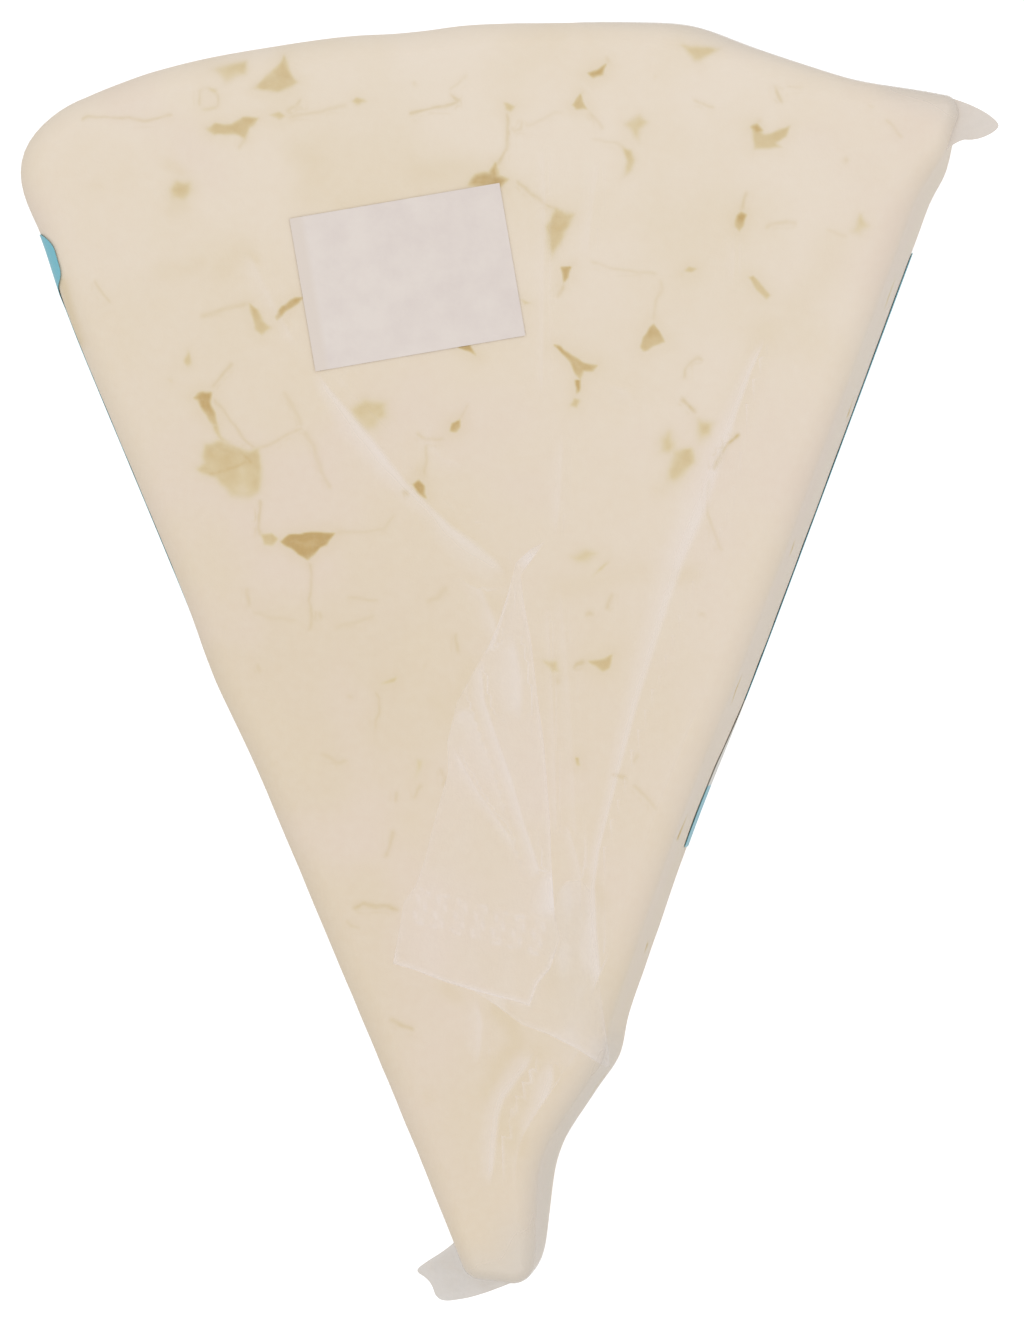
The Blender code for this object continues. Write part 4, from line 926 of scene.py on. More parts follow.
def wall_gaps():
    """(darkness, depth, softness, corners, middle, axes) of each gap in the walls."""
    rng = random.Random(GAP_SEED)
    tones = random.Random(TONE_SEED)
    # The solid draws these numbers first, for the gaps in its upper side.
    for corners in TOP_GAP_CORNERS:
        for _ in range(2 * corners):
            rng.uniform(*CORNER_JITTER)
    outline = cut_outline(SOLID_STEP, SOLID_CORNER_STEPS, SWELLS)
    normals = outward(outline)
    made = []
    for i in range(WALL_GAPS):
        place = round((i + rng.uniform(*WALL_GAP_SHIFT)) * len(outline) / WALL_GAPS) % len(outline)
        point, normal = outline[place], normals[place]
        from_corner = math.dist(point, BACK_RIGHT)
        if point[1] < TIP_RIGHT.y + TIP_STIFFENS_OVER or from_corner < CORNER_CLEARANCE:
            continue
        length = rng.uniform(*WALL_GAP_LENGTH)
        width = length * rng.uniform(*WALL_GAP_SLIMNESS)
        depth = rng.uniform(*WALL_GAP_DEPTH)
        label = 0.0
        if abs(normal[0]) >= FACES_SIDEWAYS:
            near = [point[1] + share * LABEL_CLEARANCE for share in (-1, -0.5, 0, 0.5, 1)]
            label = max(0.0, max(float(label_height(y, normal[0])) for y in near))
        lowest, highest = max(BASE_ROUND, label) + length, THICKNESS - TOP_ROUND - length
        if lowest > highest:
            continue
        height = rng.uniform(lowest, highest)
        turn = rng.uniform(0, math.pi)
        count = rng.choice(WALL_GAP_CORNERS)
        corners = []
        for number in range(count):
            uneven = (rng.uniform(*CORNER_JITTER) + rng.uniform(*CORNER_JITTER)) / 2
            angle = math.tau * number / count
            corners.append((math.sin(angle) * length / 2 * uneven, math.cos(angle) * width / 2 * uneven))
        pulled = lean_at(normal[None], height, softness(point[None]))[0]
        middle = np.array([*(point - normal * pulled), height])
        facing = Vector((*normal, 0)).to_track_quat("Z", "Y").to_matrix()
        axes = np.array(facing @ Matrix.Rotation(turn, 3, "Z"))
        made.append((tones.uniform(*WALL_GAP_TONE), depth, WALL_GAP_SOFTNESS, corners, middle, axes))
    return made


def on_wall(points, gap):
    """The points near a wall gap, and where they are as seen square on to it."""
    corners, middle, axes = gap[3:]
    near = np.flatnonzero(np.linalg.norm(points - middle, axis=1) < WALL_GAP_REACH)
    return near, ((points[near] - middle) @ axes)[:, :2]


def near_wall_gaps(points, reach):
    """Whether points lie near a gap in the walls."""
    close = np.zeros(len(points), bool)
    for gap in WALL_MARKS:
        near, seen = on_wall(points, gap)
        close[near] |= inside_by(seen, gap[3]) > -reach
    return close


WALL_MARKS = wall_gaps()
print(len(WALL_MARKS), "gaps in the walls")

# %% [markdown]
# ## The colour of the cheese
#
# Feta is a warm, slightly pink white, a little yellower and darker towards the tip. It is so dense that in
# even light from all sides it looks like any matt white, and the tight film gives it a soft gloss, which is
# a coat here. Colour and gloss read the darkness that the mesh carries in its gaps. The grain is one node
# group, because the paper and the coloured label use it too.

# %% A grain that several materials share
def grain_group():
    """A node group: fine grain and broad mottling at the object's own scale."""
    group = bpy.data.node_groups.new("grain", "ShaderNodeTree")
    fine = group.interface.new_socket("Fine Size", in_out="INPUT", socket_type="NodeSocketFloat")
    broad = group.interface.new_socket("Broad Size", in_out="INPUT", socket_type="NodeSocketFloat")
    fine.default_value, broad.default_value = 900.0, 90.0
    group.interface.new_socket("Grain", in_out="OUTPUT", socket_type="NodeSocketFloat")
    group.interface.new_socket("Mottle", in_out="OUTPUT", socket_type="NodeSocketFloat")
    given = group.nodes.new("NodeGroupInput")
    out = group.nodes.new("NodeGroupOutput")
    place = add(group, "TexCoord").outputs["Object"]
    fine_noise = {"Vector": place, "Scale": given.outputs["Fine Size"], "Detail": 4.0, "Roughness": 0.65}
    group.links.new(add(group, "TexNoise", fine_noise).outputs["Fac"], out.inputs["Grain"])
    broad_noise = {"Vector": place, "Scale": given.outputs["Broad Size"], "Detail": 5.0, "Roughness": 0.6}
    group.links.new(add(group, "TexNoise", broad_noise).outputs["Fac"], out.inputs["Mottle"])
    return group


GRAIN = grain_group()


def grain(tree, fine, broad):
    """The grain group placed in a material, with its own sizes."""
    node = add(tree, "Group", node_tree=GRAIN)
    node.inputs["Fine Size"].default_value = fine
    node.inputs["Broad Size"].default_value = broad
    return node.outputs["Grain"], node.outputs["Mottle"]


print("grain group has", len(GRAIN.nodes), "nodes")

# %% Cheese material
CHEESE_BACK = (0.835, 0.728, 0.605, 1)
CHEESE_TIP = (0.762, 0.638, 0.486, 1)
CHEESE_RIGHT = (0.800, 0.683, 0.560, 1)
CHEESE_WARM = (0.785, 0.655, 0.480, 1)
CHEESE_YELLOW = (0.765, 0.650, 0.478, 1)
CHEESE_PINK = (0.790, 0.660, 0.550, 1)
CHEESE_GRAIN = (0.90, 0.84, 0.74, 1)
STAIN_AND_SHADE_COLOUR = (0.72, 0.585, 0.375, 1)
CRACK_SHADE_AND_WHEY_COLOUR = (0.62, 0.475, 0.22, 1)
CRACK_CORE = 0.6
CRACK_HALO = 0.3
CRACK_HALO_NARROWNESS = 0.09
# A gap's colour by its darkness, from plain curd to honey brown: partly pooled whey, partly painted shade.
GAP_SHADE_AND_WHEY_COLOURS = [
    (0.0, (0.765, 0.655, 0.50)),
    (0.3, (0.735, 0.61, 0.39)),
    (0.65, (0.67, 0.52, 0.29)),
    (1.0, (0.585, 0.41, 0.18)),
]
cheese_look, tree, shader = new_material("cheese")
# The gap, crack and stain values are partly pooled whey and partly painted shade.
gap = attribute(tree, "gap")
stain_and_shade = attribute(tree, "stain_and_shade")
fine, mottle = grain(tree, 1100.0, 70.0)
here = add(tree, "TexCoord").outputs["Object"]
place = add(tree, "SeparateXYZ", {0: here}).outputs
colour = blend(tree, remap(tree, place["X"], -0.012, 0.022, 0.0, 0.9), CHEESE_TIP, CHEESE_RIGHT)
colour = blend(tree, remap(tree, place["Y"], 0.0, 0.066), colour, CHEESE_BACK)
patches = add(tree, "TexNoise", {"Vector": here, "Scale": 34.0, "Detail": 3.0, "Roughness": 0.6})
patches = patches.outputs["Fac"]
colour = blend(tree, remap(tree, patches, 0.52, 0.68, 0.0, 0.4), colour, CHEESE_YELLOW)
colour = blend(tree, remap(tree, patches, 0.48, 0.34, 0.0, 0.7), colour, CHEESE_PINK)
colour = blend(tree, remap(tree, mottle, 0.45, 0.75, 0.0, 0.35), colour, CHEESE_WARM)
colour = blend(tree, remap(tree, fine, 0.35, 0.75, 0.0, 0.12), colour, CHEESE_GRAIN)
colour = blend(tree, stain_and_shade, colour, STAIN_AND_SHADE_COLOUR)
# Cracks: a hairline and a soft halo round it, painted darker: partly whey in the crack, partly painted
# shade.
place_across = attribute(tree, "crack_place")
squared = maths(tree, "MULTIPLY", place_across, place_across)
hairline = maths(tree, "EXPONENT", maths(tree, "MULTIPLY", squared, -1.0))
softer = maths(tree, "EXPONENT", maths(tree, "MULTIPLY", squared, -CRACK_HALO_NARROWNESS))
softer = maths(tree, "MULTIPLY", softer, CRACK_HALO)
both = maths(tree, "MULTIPLY_ADD", hairline, CRACK_CORE, softer)
broken = maths(tree, "MULTIPLY", attribute(tree, "crack"), remap(tree, fine, 0.35, 0.6, 0.55, 1.0))
hairline = maths(tree, "MULTIPLY", both, broken)
colour = blend(tree, hairline, colour, CRACK_SHADE_AND_WHEY_COLOUR)
uneven_gap = maths(tree, "MULTIPLY", gap, remap(tree, fine, 0.3, 0.7, 0.85, 1.1))
uneven_gap = maths(tree, "MULTIPLY_ADD", hairline, 0.5, uneven_gap, clamp=True)
colour = blend(tree, remap(tree, gap, 0.0, 0.4), colour, ramp(tree, uneven_gap, GAP_SHADE_AND_WHEY_COLOURS))
tree.links.new(colour, shader.inputs["Base Color"])
tree.links.new(remap(tree, gap, 0.0, 0.8, 0.42, 0.65), shader.inputs["Roughness"])
tree.links.new(remap(tree, gap, 0.0, 0.5, 0.12, 0.02), shader.inputs["Coat Weight"])
shader.inputs["Coat Roughness"].default_value = 0.28
shader.inputs["Specular IOR Level"].default_value = 0.1
height = maths(tree, "ADD", maths(tree, "MULTIPLY", mottle, 1.5), fine)
add_bump(tree, shader, height, strength=0.35, distance=0.00012)
print("cheese material has", len(tree.nodes), "nodes")

# %% [markdown]
# ## The cheese
#
# The cheese is made a tenth of a millimetre smaller than its film, so that the film has room round it. The
# grid is halved twice near each gap and crack, and then every point moves: down into the gaps, and up and
# down with the low crown and the unevenness of soft cheese.

# %% Height of the upper side
CROWN = 0.5
CROWN_WIDE = 0.4 * WHEEL_RADIUS
CROWN_LONG = 0.55 * WHEEL_RADIUS
DENT = 0.35
DENT_SIZE = 16
RIM_WIDTH = 6
RIM_STRIDE = 3
FLAT_WITHIN = 0.001


def top_height(points):
    """How far the upper side stands above its rim: a low crown with soft dents."""
    across = (points[:, 0] / CROWN_WIDE) ** 2 + (points[:, 1] / CROWN_LONG) ** 2
    flat = np.column_stack([points, np.zeros(len(points))])
    dents = np.array([noise.noise(Vector(point) / DENT_SIZE) for point in flat])
    return CROWN * np.clip(1 - across, 0, None) + DENT * dents


def from_rim(points, rim):
    """How far points of the upper side are from its rim."""
    closed = np.vstack([rim, rim[:1]])
    return from_line(points, closed[::RIM_STRIDE])[0]


print("crown in the middle:", round(float(top_height(np.zeros((1, 2)))[0]), 2), "mm")

# %% Cheese
CHEESE_INSET = 0.15
CHEESE_FOOT = 0.2
SHOULDER = 1.8
# Where the film's outline, and the cheese in it, stands out a little further than the solid's.
FILM_SWELLS = SWELLS + [(19.5, 64.3, 5.0, 0.9), (45.8, 52.3, 2.5, 0.5)]
LUMP = 0.04
LUMP_SIZE = 3.2
RIM_FADE = 1.2
STAIN_AND_SHADE_REACHES_DOWN = 8
STAIN_AND_SHADE_FADE = 6
# Near a gap the grid is halved in stages: (longest edge that may stay, how near counts).
CHEESE_STAGES = [(0.55, 0.8), (0.3, 0.45)]


def near_any_gap(points, reach):
    """Whether points lie near a gap or crack, on top or on a wall."""
    return near_top_marks(points, reach) | near_wall_gaps(points, reach)


bm, rim, level = wedge_shell(CHEESE_INSET, CHEESE_INSET, CHEESE_FOOT, FILM_SWELLS)
refine(bm, near_any_gap, CHEESE_STAGES)
bmesh.ops.recalc_face_normals(bm, faces=bm.faces)
points = coordinates(bm)
normals = np.array([vert.normal[:] for vert in bm.verts])
from_above = np.flatnonzero(points[:, 2] > level - SHOULDER)
flat = points[from_above, :2]
to_rim = from_rim(flat, rim) * (points[from_above, 2] > level - FLAT_WITHIN)
depth, dark, halo = curd_gaps(flat)
strength, across, crack_depth = curd_cracks(flat)
gap_shade_and_whey, crack_tone, halo_tone, lift = np.zeros((4, len(points)))
crack_place = np.full(len(points), CRACK_FAR)
gap_shade_and_whey[from_above], crack_tone[from_above], crack_place[from_above] = dark, strength, across
halo_tone[from_above] = halo
sunk = (depth + crack_depth) * eased(to_rim / RIM_FADE)
lift[from_above] = top_height(flat) * np.clip(to_rim / RIM_WIDTH, 0, 1) - sunk
points += normals * (rough(points, LUMP_SIZE, seed=3) * LUMP)[:, None]
# Gaps in the walls: sunk in, and darkened with the same whey colour and painted shade as on top.
for gap_mark in WALL_MARKS:
    tone, deep, soft, corners = gap_mark[:4]
    near, seen = on_wall(points, gap_mark)
    inside = inside_by(seen, corners)
    gap_shade_and_whey[near] = np.maximum(gap_shade_and_whey[near], darkened(tone, inside, soft))
    points[near] -= normals[near] * sunken(deep, inside)[:, None]
points[:, 2] += lift
stain_and_shade_tone = stain_and_shade_at(points[:, :2]) * eased((points[:, 2] - THICKNESS + STAIN_AND_SHADE_REACHES_DOWN) / STAIN_AND_SHADE_FADE)
stain_and_shade_tone = np.maximum(stain_and_shade_tone, halo_tone)
move_to(bm, points)
values = {"gap": gap_shade_and_whey, "stain_and_shade": stain_and_shade_tone, "crack": crack_tone, "crack_place": crack_place}
cheese = to_piece("cheese", bm, cheese_look, values)
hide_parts("wrapped_wedge")

# %% [markdown]
# ## The film's look
#
# Film this tight is nearly invisible on the flat. It shows white where it is folded, with a painted
# highlight along each fold's crest and along the rim, and as a grey haze where it lies double. On the walls
# the same grey is painted shade, most on the right. So its see-through share (alpha) comes from values that
# the mesh carries. A fold's own edge is finer than the mesh: the mesh carries how far across the fold each
# point is, and the shader draws the edge from that.

# %% A fold's bright band
def band_group():
    """A node group: how white a fold is at a place across it, from -1 to its sharp edge at 1, with a painted
    highlight along its crest.
    """
    group = bpy.data.node_groups.new("fold_band", "ShaderNodeTree")
    group.interface.new_socket("Across", in_out="INPUT", socket_type="NodeSocketFloat")
    group.interface.new_socket("Band", in_out="OUTPUT", socket_type="NodeSocketFloat")
    across = group.nodes.new("NodeGroupInput").outputs["Across"]
    out = group.nodes.new("NodeGroupOutput")
    fades_in = {"Value": across, 1: -2.0, 2: 0.4}
    soft = add(group, "MapRange", fades_in, interpolation_type="SMOOTHSTEP").outputs[0]
    sharp = remap(group, across, 1.3, 0.8)
    # Painted highlight: a bright line along the crest, just inside the fold's sharp edge.
    crest_highlight = maths(group, "MULTIPLY", maths(group, "SUBTRACT", across, 0.55), 2.6)
    crest_highlight = maths(group, "EXPONENT", maths(group, "MULTIPLY", maths(group, "MULTIPLY", crest_highlight, crest_highlight), -1.0))
    whiteness = maths(group, "MULTIPLY_ADD", crest_highlight, 0.3, maths(group, "MULTIPLY", soft, 0.7))
    group.links.new(maths(group, "MULTIPLY", whiteness, sharp), out.inputs["Band"])
    return group


BAND = band_group()
print("band group has", len(BAND.nodes), "nodes")

# %% Film material
FILM_WHITE = (0.86, 0.79, 0.78, 1)
# The grey of the film's haze, also used as painted shade on the walls.
FILM_GREY = (0.66, 0.61, 0.56, 1)


def film_material(name, grey, veil, whitening, hazing):
    """Clear film: the grey of its haze and painted shade, how much of it shows anywhere, in its folds and in
    its haze and painted shade.
    """
    look, tree, shader = new_material(name)
    band = add(tree, "Group", node_tree=BAND)
    tree.links.new(attribute(tree, "fold_place"), band.inputs["Across"])
    fold = maths(tree, "MULTIPLY", band.outputs["Band"], attribute(tree, "fold"))
    white = maths(tree, "ADD", fold, attribute(tree, "crease_and_highlight"))
    place = add(tree, "TexCoord").outputs["Object"]
    pulled = add(tree, "Mapping", {"Vector": place, "Scale": (1.0, 0.3, 0.6)}).outputs[0]
    wrinkles = add(tree, "TexNoise", {"Vector": pulled, "Scale": 330.0, "Detail": 2.0}).outputs["Fac"]
    uneven = remap(tree, wrinkles, 0.35, 0.7, 0.85, 1.15)
    white = maths(tree, "MULTIPLY", maths(tree, "MULTIPLY", white, whitening), uneven)
    haze_and_shade = maths(tree, "MULTIPLY_ADD", attribute(tree, "haze_and_shade"), hazing, veil)
    shown = maths(tree, "ADD", white, haze_and_shade, clamp=True)
    tree.links.new(shown, shader.inputs["Alpha"])
    greyness = maths(tree, "DIVIDE", haze_and_shade, maths(tree, "ADD", haze_and_shade, white), clamp=True)
    tree.links.new(blend(tree, greyness, FILM_WHITE, grey), shader.inputs["Base Color"])
    shader.inputs["Roughness"].default_value = 0.25
    shader.inputs["Specular IOR Level"].default_value = 0.3
    add_bump(tree, shader, wrinkles, strength=0.08, distance=0.0002)
    return look


def let_light_through(piece):
    """Film this thin takes almost no light from what lies under it."""
    piece.visible_shadow = False
    piece.visible_diffuse = False


film_look = film_material("clear_film", FILM_GREY, veil=0.015, whitening=0.4, hazing=0.55)
print("film material made")

# %% [markdown]
# ## The film
#
# Heat shrinks the film on to the cheese. It spans the gaps, sagging into them a little, and where it was
# gathered towards the tip it stands up in long folds: steep on one side, flat on the other. Each fold is a
# line with a width at each place.

# %% The folds: (whiteness, height, places with widths)
FOLDS = {
    "left": (0.95, 0.14, [(-20.6, 30.1, 0.7), (-19.3, 27.9, 1.2), (-17.5, 25.4, 1.7), (-15.5, 22.8, 2),
        (-13.4, 20.2, 1.9), (-11.4, 18, 1.5), (-9, 15.7, 1.4), (-6.9, 13.3, 2), (-4.6, 11.3, 2.6),
        (-2.3, 9.6, 2.2), (-0.5, 8.4, 1)]),
    "left_above": (0.35, 0.08, [(-27.8, 42.6, 0.8), (-26.7, 39.7, 1.6), (-25.3, 37.1, 1.4),
        (-23.6, 34.3, 1), (-22.3, 32.2, 0.7)]),
    "left_branch": (0.6, 0.12, [(-6.2, 12, 0.7), (-4.8, 9.5, 1.4), (-3.6, 6.7, 1.7), (-2.4, 4.1, 1.4),
        (-1.8, 1.4, 0.7)]),
    "left_inner": (0.25, 0.05, [(-19.7, 29.1, 0.8), (-18.9, 27.8, 1.5), (-17.8, 26.9, 0.8)]),
    "right": (0.85, 0.14, [(26.1, 33.8, 0.5), (24.3, 30.2, 0.9), (22.8, 26.5, 1.3), (21.4, 22.9, 1.9),
        (20.2, 20, 2.4), (18.7, 16.1, 2.7), (16.9, 11.3, 2.2), (15.3, 6.4, 1.9), (13.8, 1.2, 1.7),
        (12.3, -3.9, 1.5), (11, -9.3, 1.2), (9.7, -14.9, 0.9), (8.6, -19.4, 0.8), (8.1, -23.1, 0.9),
        (8.3, -27.7, 0.9), (8.7, -32.3, 1), (9.1, -37, 1), (9.7, -41.3, 0.6)]),
    "right_fan": (0.45, 0.1, [(5.2, -15.8, 0.5), (6.1, -19.4, 0.9), (7.1, -23.6, 1), (7.8, -27.7, 0.8),
        (8.2, -30.8, 0.5)]),
    "upright_a": (0.28, 0.05, [(2.9, 53.9, 0.6), (3, 47.7, 1), (2.8, 41.5, 1), (2.8, 34.3, 0.9),
        (2.9, 27.1, 0.5)]),
    "upright_b": (0.3, 0.05, [(4.9, 24, 0.8), (4.5, 18.8, 1.2), (4.2, 12.6, 0.8)]),
    "upright_c": (0.3, 0.06, [(8.8, 52.4, 0.8), (8, 48.8, 1.2), (7.4, 44.6, 1.3), (7.4, 41.3, 0.8)]),
    "upright_d": (0.25, 0.05, [(22.8, 44.8, 0.7), (22.5, 42.7, 1), (22.5, 38.4, 0.8)]),
    "upright_e": (0.22, 0.05, [(4.6, 8.5, 0.8), (5.4, -3.9, 1.2), (6, -14.3, 1), (6.5, -22.5, 0.8)]),
    "upright_f": (0.3, 0.06, [(3.4, 6.4, 0.5), (3.8, -1.9, 0.7), (4.1, -10.1, 0.7), (4.4, -18.4, 0.5)]),
    "ring": (0.25, 0.05, [(-8.3, 25.2, 0.8), (-9.1, 22.9, 1.2), (-7.7, 20.7, 1.3), (-4.4, 19.8, 0.8)]),
    "on_curd_a": (0.3, 0.06, [(9, 28.7, 0.8), (10.9, 27.6, 1.8), (13.3, 26.8, 0.8)]),
    "on_curd_b": (0.3, 0.05, [(-18.5, 30, 0.6), (-17.5, 28.4, 1.2), (-17, 27.5, 0.6)]),
    "tip_a": (0.5, 0.12, [(-4.1, -34.1, 0.8), (-3.8, -37.2, 1.5), (-3.9, -39.9, 1.4), (-4.1, -41.9, 0.7)]),
    "tip_b": (0.9, 0.14, [(2.2, -39.7, 0.9), (1, -41.3, 1.5), (-0.2, -43, 1.5), (-1.5, -44.8, 1.5),
        (-2.1, -47, 1.5), (-2.4, -49.6, 1.5), (-2.6, -52.3, 1.3), (-2.7, -54.5, 0.8)]),
    "tip_branch": (0.5, 0.1, [(-0.9, -44, 0.5), (-0.2, -46.4, 0.9), (0.9, -48.3, 0.6)]),
    "tip_c": (0.85, 0.14, [(3.8, -40.4, 0.8), (3.5, -43.2, 1.6), (2.8, -45.6, 1.5), (1.8, -48.0, 1.6),
        (1.1, -51.0, 1.5), (0.7, -54.9, 0.9)]),
    "tip_seam": (0.7, 0.12, [(10.1, -42.4, 0.5), (8.7, -43.9, 0.7), (6.7, -46.6, 0.7),
        (4.9, -49.2, 0.7), (4.5, -51.4, 0.5)]),
    "tip_wide": (0.35, 0.08, [(5.9, -39.3, 0.8), (6.4, -41.7, 2.6), (5.1, -44.4, 2.6),
        (3.9, -47.3, 1.6), (3.4, -49.9, 0.8)]),
    "rim_right": (0.35, 0.05, [(19.4, -3.9, 0.6), (17.9, -9.1, 1.4), (15.6, -16.3, 1.6),
        (13.5, -23.6, 1.6), (11.6, -29.8, 1.4), (10.3, -34.9, 1), (9.7, -39.6, 0.6)]),
}
print(len(FOLDS), "folds")

# %% How folds act on the film
FOLD_CREST = 0.2
FOLD_SHARE = 0.3
FOLD_REACH = 3.5
FOLD_FAR = 3.0
FOLD_FADE = 1.5
FOLD_END = 2.5
FOLD_FULL_HEIGHT = (0.5, 1)
FOLDS_FROM_TOP = 1
FOLD_HALF_WIDEST = 2


def along_fold(points, line):
    """(distance, side, way along, width there, length) of a fold for each point."""
    middle = np.array(line)[:, :2]
    distance, side, way = from_line(points, middle)
    ways = np.concatenate(([0], np.cumsum(np.hypot(*np.diff(middle, axis=0).T))))
    width = np.interp(way, ways / ways[-1], [corner[2] for corner in line])
    return distance, side, way, width, ways[-1]


def folded(points, folds):
    """(height, whiteness, place across) that folds give to film at points of the upper side."""
    rise, white = np.zeros(len(points)), np.zeros(len(points))
    place = np.full(len(points), -FOLD_FAR)
    for tone, height, line in folds.values():
        near = nearby(points, line, FOLD_REACH)
        distance, side, way, width, length = along_fold(points[near], line)
        across = side * distance / (width / 2)
        up = np.where(across < FOLD_CREST, (across + 1) / (1 + FOLD_CREST), (1 - across) / (1 - FOLD_CREST))
        ends = eased(np.minimum(way, 1 - way) * length / FOLD_END)
        up = FOLD_SHARE * height * eased(up) * ends * np.clip(width, *FOLD_FULL_HEIGHT)
        rise[near] = np.maximum(rise[near], up)
        here = tone * ends * eased((FOLD_FAR - np.abs(across)) / FOLD_FADE)
        stronger = here > white[near]
        chosen = near[stronger]
        white[chosen] = here[stronger]
        place[chosen] = np.clip(across, -FOLD_FAR, FOLD_FAR)[stronger]
    return rise, white, place


def near_folds(points, reach):
    """Whether points lie on the upper side and near a fold."""
    close = np.zeros(len(points), bool)
    flat = points[:, :2]
    for _, _, line in FOLDS.values():
        near = nearby(flat, line, reach + FOLD_HALF_WIDEST)
        distance, _, _, width, _ = along_fold(flat[near], line)
        close[near] |= distance < width / 2 + reach
    return close & (points[:, 2] > THICKNESS - FOLDS_FROM_TOP)


print("a fold is steep from", FOLD_CREST, "of its half width on")

# %% Where the film lies double, and painted shade on the walls
WALL_PAINTED_SHADE = 0.05
RIGHT_WALL_PAINTED_SHADE = 0.05
UPRIGHT_BELOW = 0.95
UPRIGHT_OVER = 0.9
HAZE_FROM = 2
HAZE_OVER = 8
# (how grey, how far it reaches, places along it) on the upper side
HAZES = [
    (0.9, 4.2, [(10.3, -41.1), (9.0, -44.2), (6.5, -48.3), (4.4, -53.5), (3.4, -58.2), (1.8, -62.3)]),
    (1.0, 7.5, [(2.6, -61.5), (0.8, -64.6), (-3.2, -65.6)]),
    (0.3, 5.0, [(6.2, -26.0), (7.0, -33.0), (8.0, -39.0)]),
    (0.9, 4.0, [(40.0, 60.3), (44.5, 58.9), (47.8, 56.4)]),
    (0.7, 2.4, [(8.0, 67.5), (16.0, 66.8), (22.0, 65.0), (30.0, 63.0), (38.0, 61.0)]),
]


def hazy_and_shaded(points, normals):
    """How grey the film is: painted shade on the walls, most on the right, and haze where it lies double on
    the upper side.
    """
    # Painted shade: the film greys the walls where they turn from the light, most on the right.
    upright = eased((UPRIGHT_BELOW - normals[:, 2]) / UPRIGHT_OVER)
    haze_and_shade = (WALL_PAINTED_SHADE + RIGHT_WALL_PAINTED_SHADE * np.clip(normals[:, 0], 0, 1)) * upright
    for strength, reach, line in HAZES:
        near = nearby(points[:, :2], line, reach)
        distance = from_line(points[near, :2], np.array(line))[0]
        higher = eased((points[near, 2] - HAZE_FROM) / HAZE_OVER)
        here = strength * eased(1 - distance / reach) * higher
        haze_and_shade[near] = np.maximum(haze_and_shade[near], here)
    return haze_and_shade


print(len(HAZES), "places where the film is double")

# %% Film
FILM_INSET = 0.06
FILM_FOOT = 0.08
FILM_STAGES = [(0.6, 0.4), (0.33, 0.15)]
SAG = 0.06
SAG_OVER = 0.3
RIM_HIGHLIGHT = 0.06
RIM_HIGHLIGHT_WIDTH = 1.3

bm, rim, level = wedge_shell(FILM_INSET, FILM_INSET, FILM_FOOT, FILM_SWELLS)
refine(bm, near_folds, FILM_STAGES)
bmesh.ops.recalc_face_normals(bm, faces=bm.faces)
points = coordinates(bm)
normals = np.array([vert.normal[:] for vert in bm.verts])
on_top = np.flatnonzero(points[:, 2] > level - FLAT_WITHIN)
flat = points[on_top, :2]
to_rim = from_rim(flat, rim)
depth, _, _ = curd_gaps(flat)
rise, white, place = folded(flat, FOLDS)
crease_and_highlight, fold_tone = np.zeros((2, len(points)))
fold_place = np.full(len(points), -FOLD_FAR)
# Painted highlight: a light band just inside the rim of the upper side, carried with the creases.
crease_and_highlight[on_top] = RIM_HIGHLIGHT * np.exp(-((to_rim / RIM_HIGHLIGHT_WIDTH) ** 2))
fold_tone[on_top], fold_place[on_top] = white, place
haze_and_shade = hazy_and_shaded(points, normals)
lift = top_height(flat) * np.clip(to_rim / RIM_WIDTH, 0, 1) - SAG * eased(depth / SAG_OVER)
points[on_top, 2] += lift + rise * eased(to_rim / RIM_FADE)
move_to(bm, points)
film_top = BVHTree.FromBMesh(bm)
film_values = {"crease_and_highlight": crease_and_highlight, "haze_and_shade": haze_and_shade, "fold": fold_tone, "fold_place": fold_place}
film = to_piece("film", bm, film_look, film_values)
let_light_through(film)
film_rim = rim
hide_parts("wrapped_wedge")

# %% [markdown]
# ## Loose layers of film
#
# The tube of film was sealed along a seam and its end folded over on the upper side: a long flap with a
# crimped end, and under it a second layer. A layer starts as one flat face with the layer's outline, is cut
# into a fine grid the way a knife would, laid on the film by looking straight down, and given a thickness.

# %% Layer outlines
FLAP = [
    (3.4, 12.5), (1.9, 11.7), (0.4, 10.3), (-0.5, 6.9), (-1.6, 3.5), (-2.6, 1.4), (-4, -1), (-5.7, -4.1),
    (-6.7, -8.2), (-6.6, -11.4), (-7.9, -15.9), (-9.1, -20.6), (-10, -23.1), (-11.2, -24.8),
    (-11.6, -27.3), (-12.3, -31.1), (-10.2, -31.7), (-6.9, -33), (-3.5, -34), (0.8, -35.1), (1.8, -35.5),
    (2.6, -33.2), (3.9, -31.7), (5, -28.4), (4.4, -26.1), (4.1, -21), (3.9, -15.9), (3.3, -8.4),
    (2.6, -3.3), (2, 2.1), (1.2, 6.4), (0.9, 9),
]
UNDER_FLAP = [
    (-8.2, -32.3), (-6.6, -33.0), (-4.0, -33.9), (-1.8, -35.3), (1.0, -37.4), (3.7, -38.4), (6.7, -39.9),
    (9.3, -41.7), (10.2, -42.4), (10.0, -40.1), (9.5, -36.6), (9.0, -32.7), (8.6, -28.6), (8.1, -23.6),
    (7.2, -22.5), (5.6, -22.6), (4.6, -24.0), (4.3, -26.0), (4.9, -28.3), (3.8, -31.6), (2.5, -33.1),
    (1.7, -35.3), (0.4, -34.9), (-3.5, -33.8), (-6.6, -32.7),
]
print("flap has", len(FLAP), "corners")

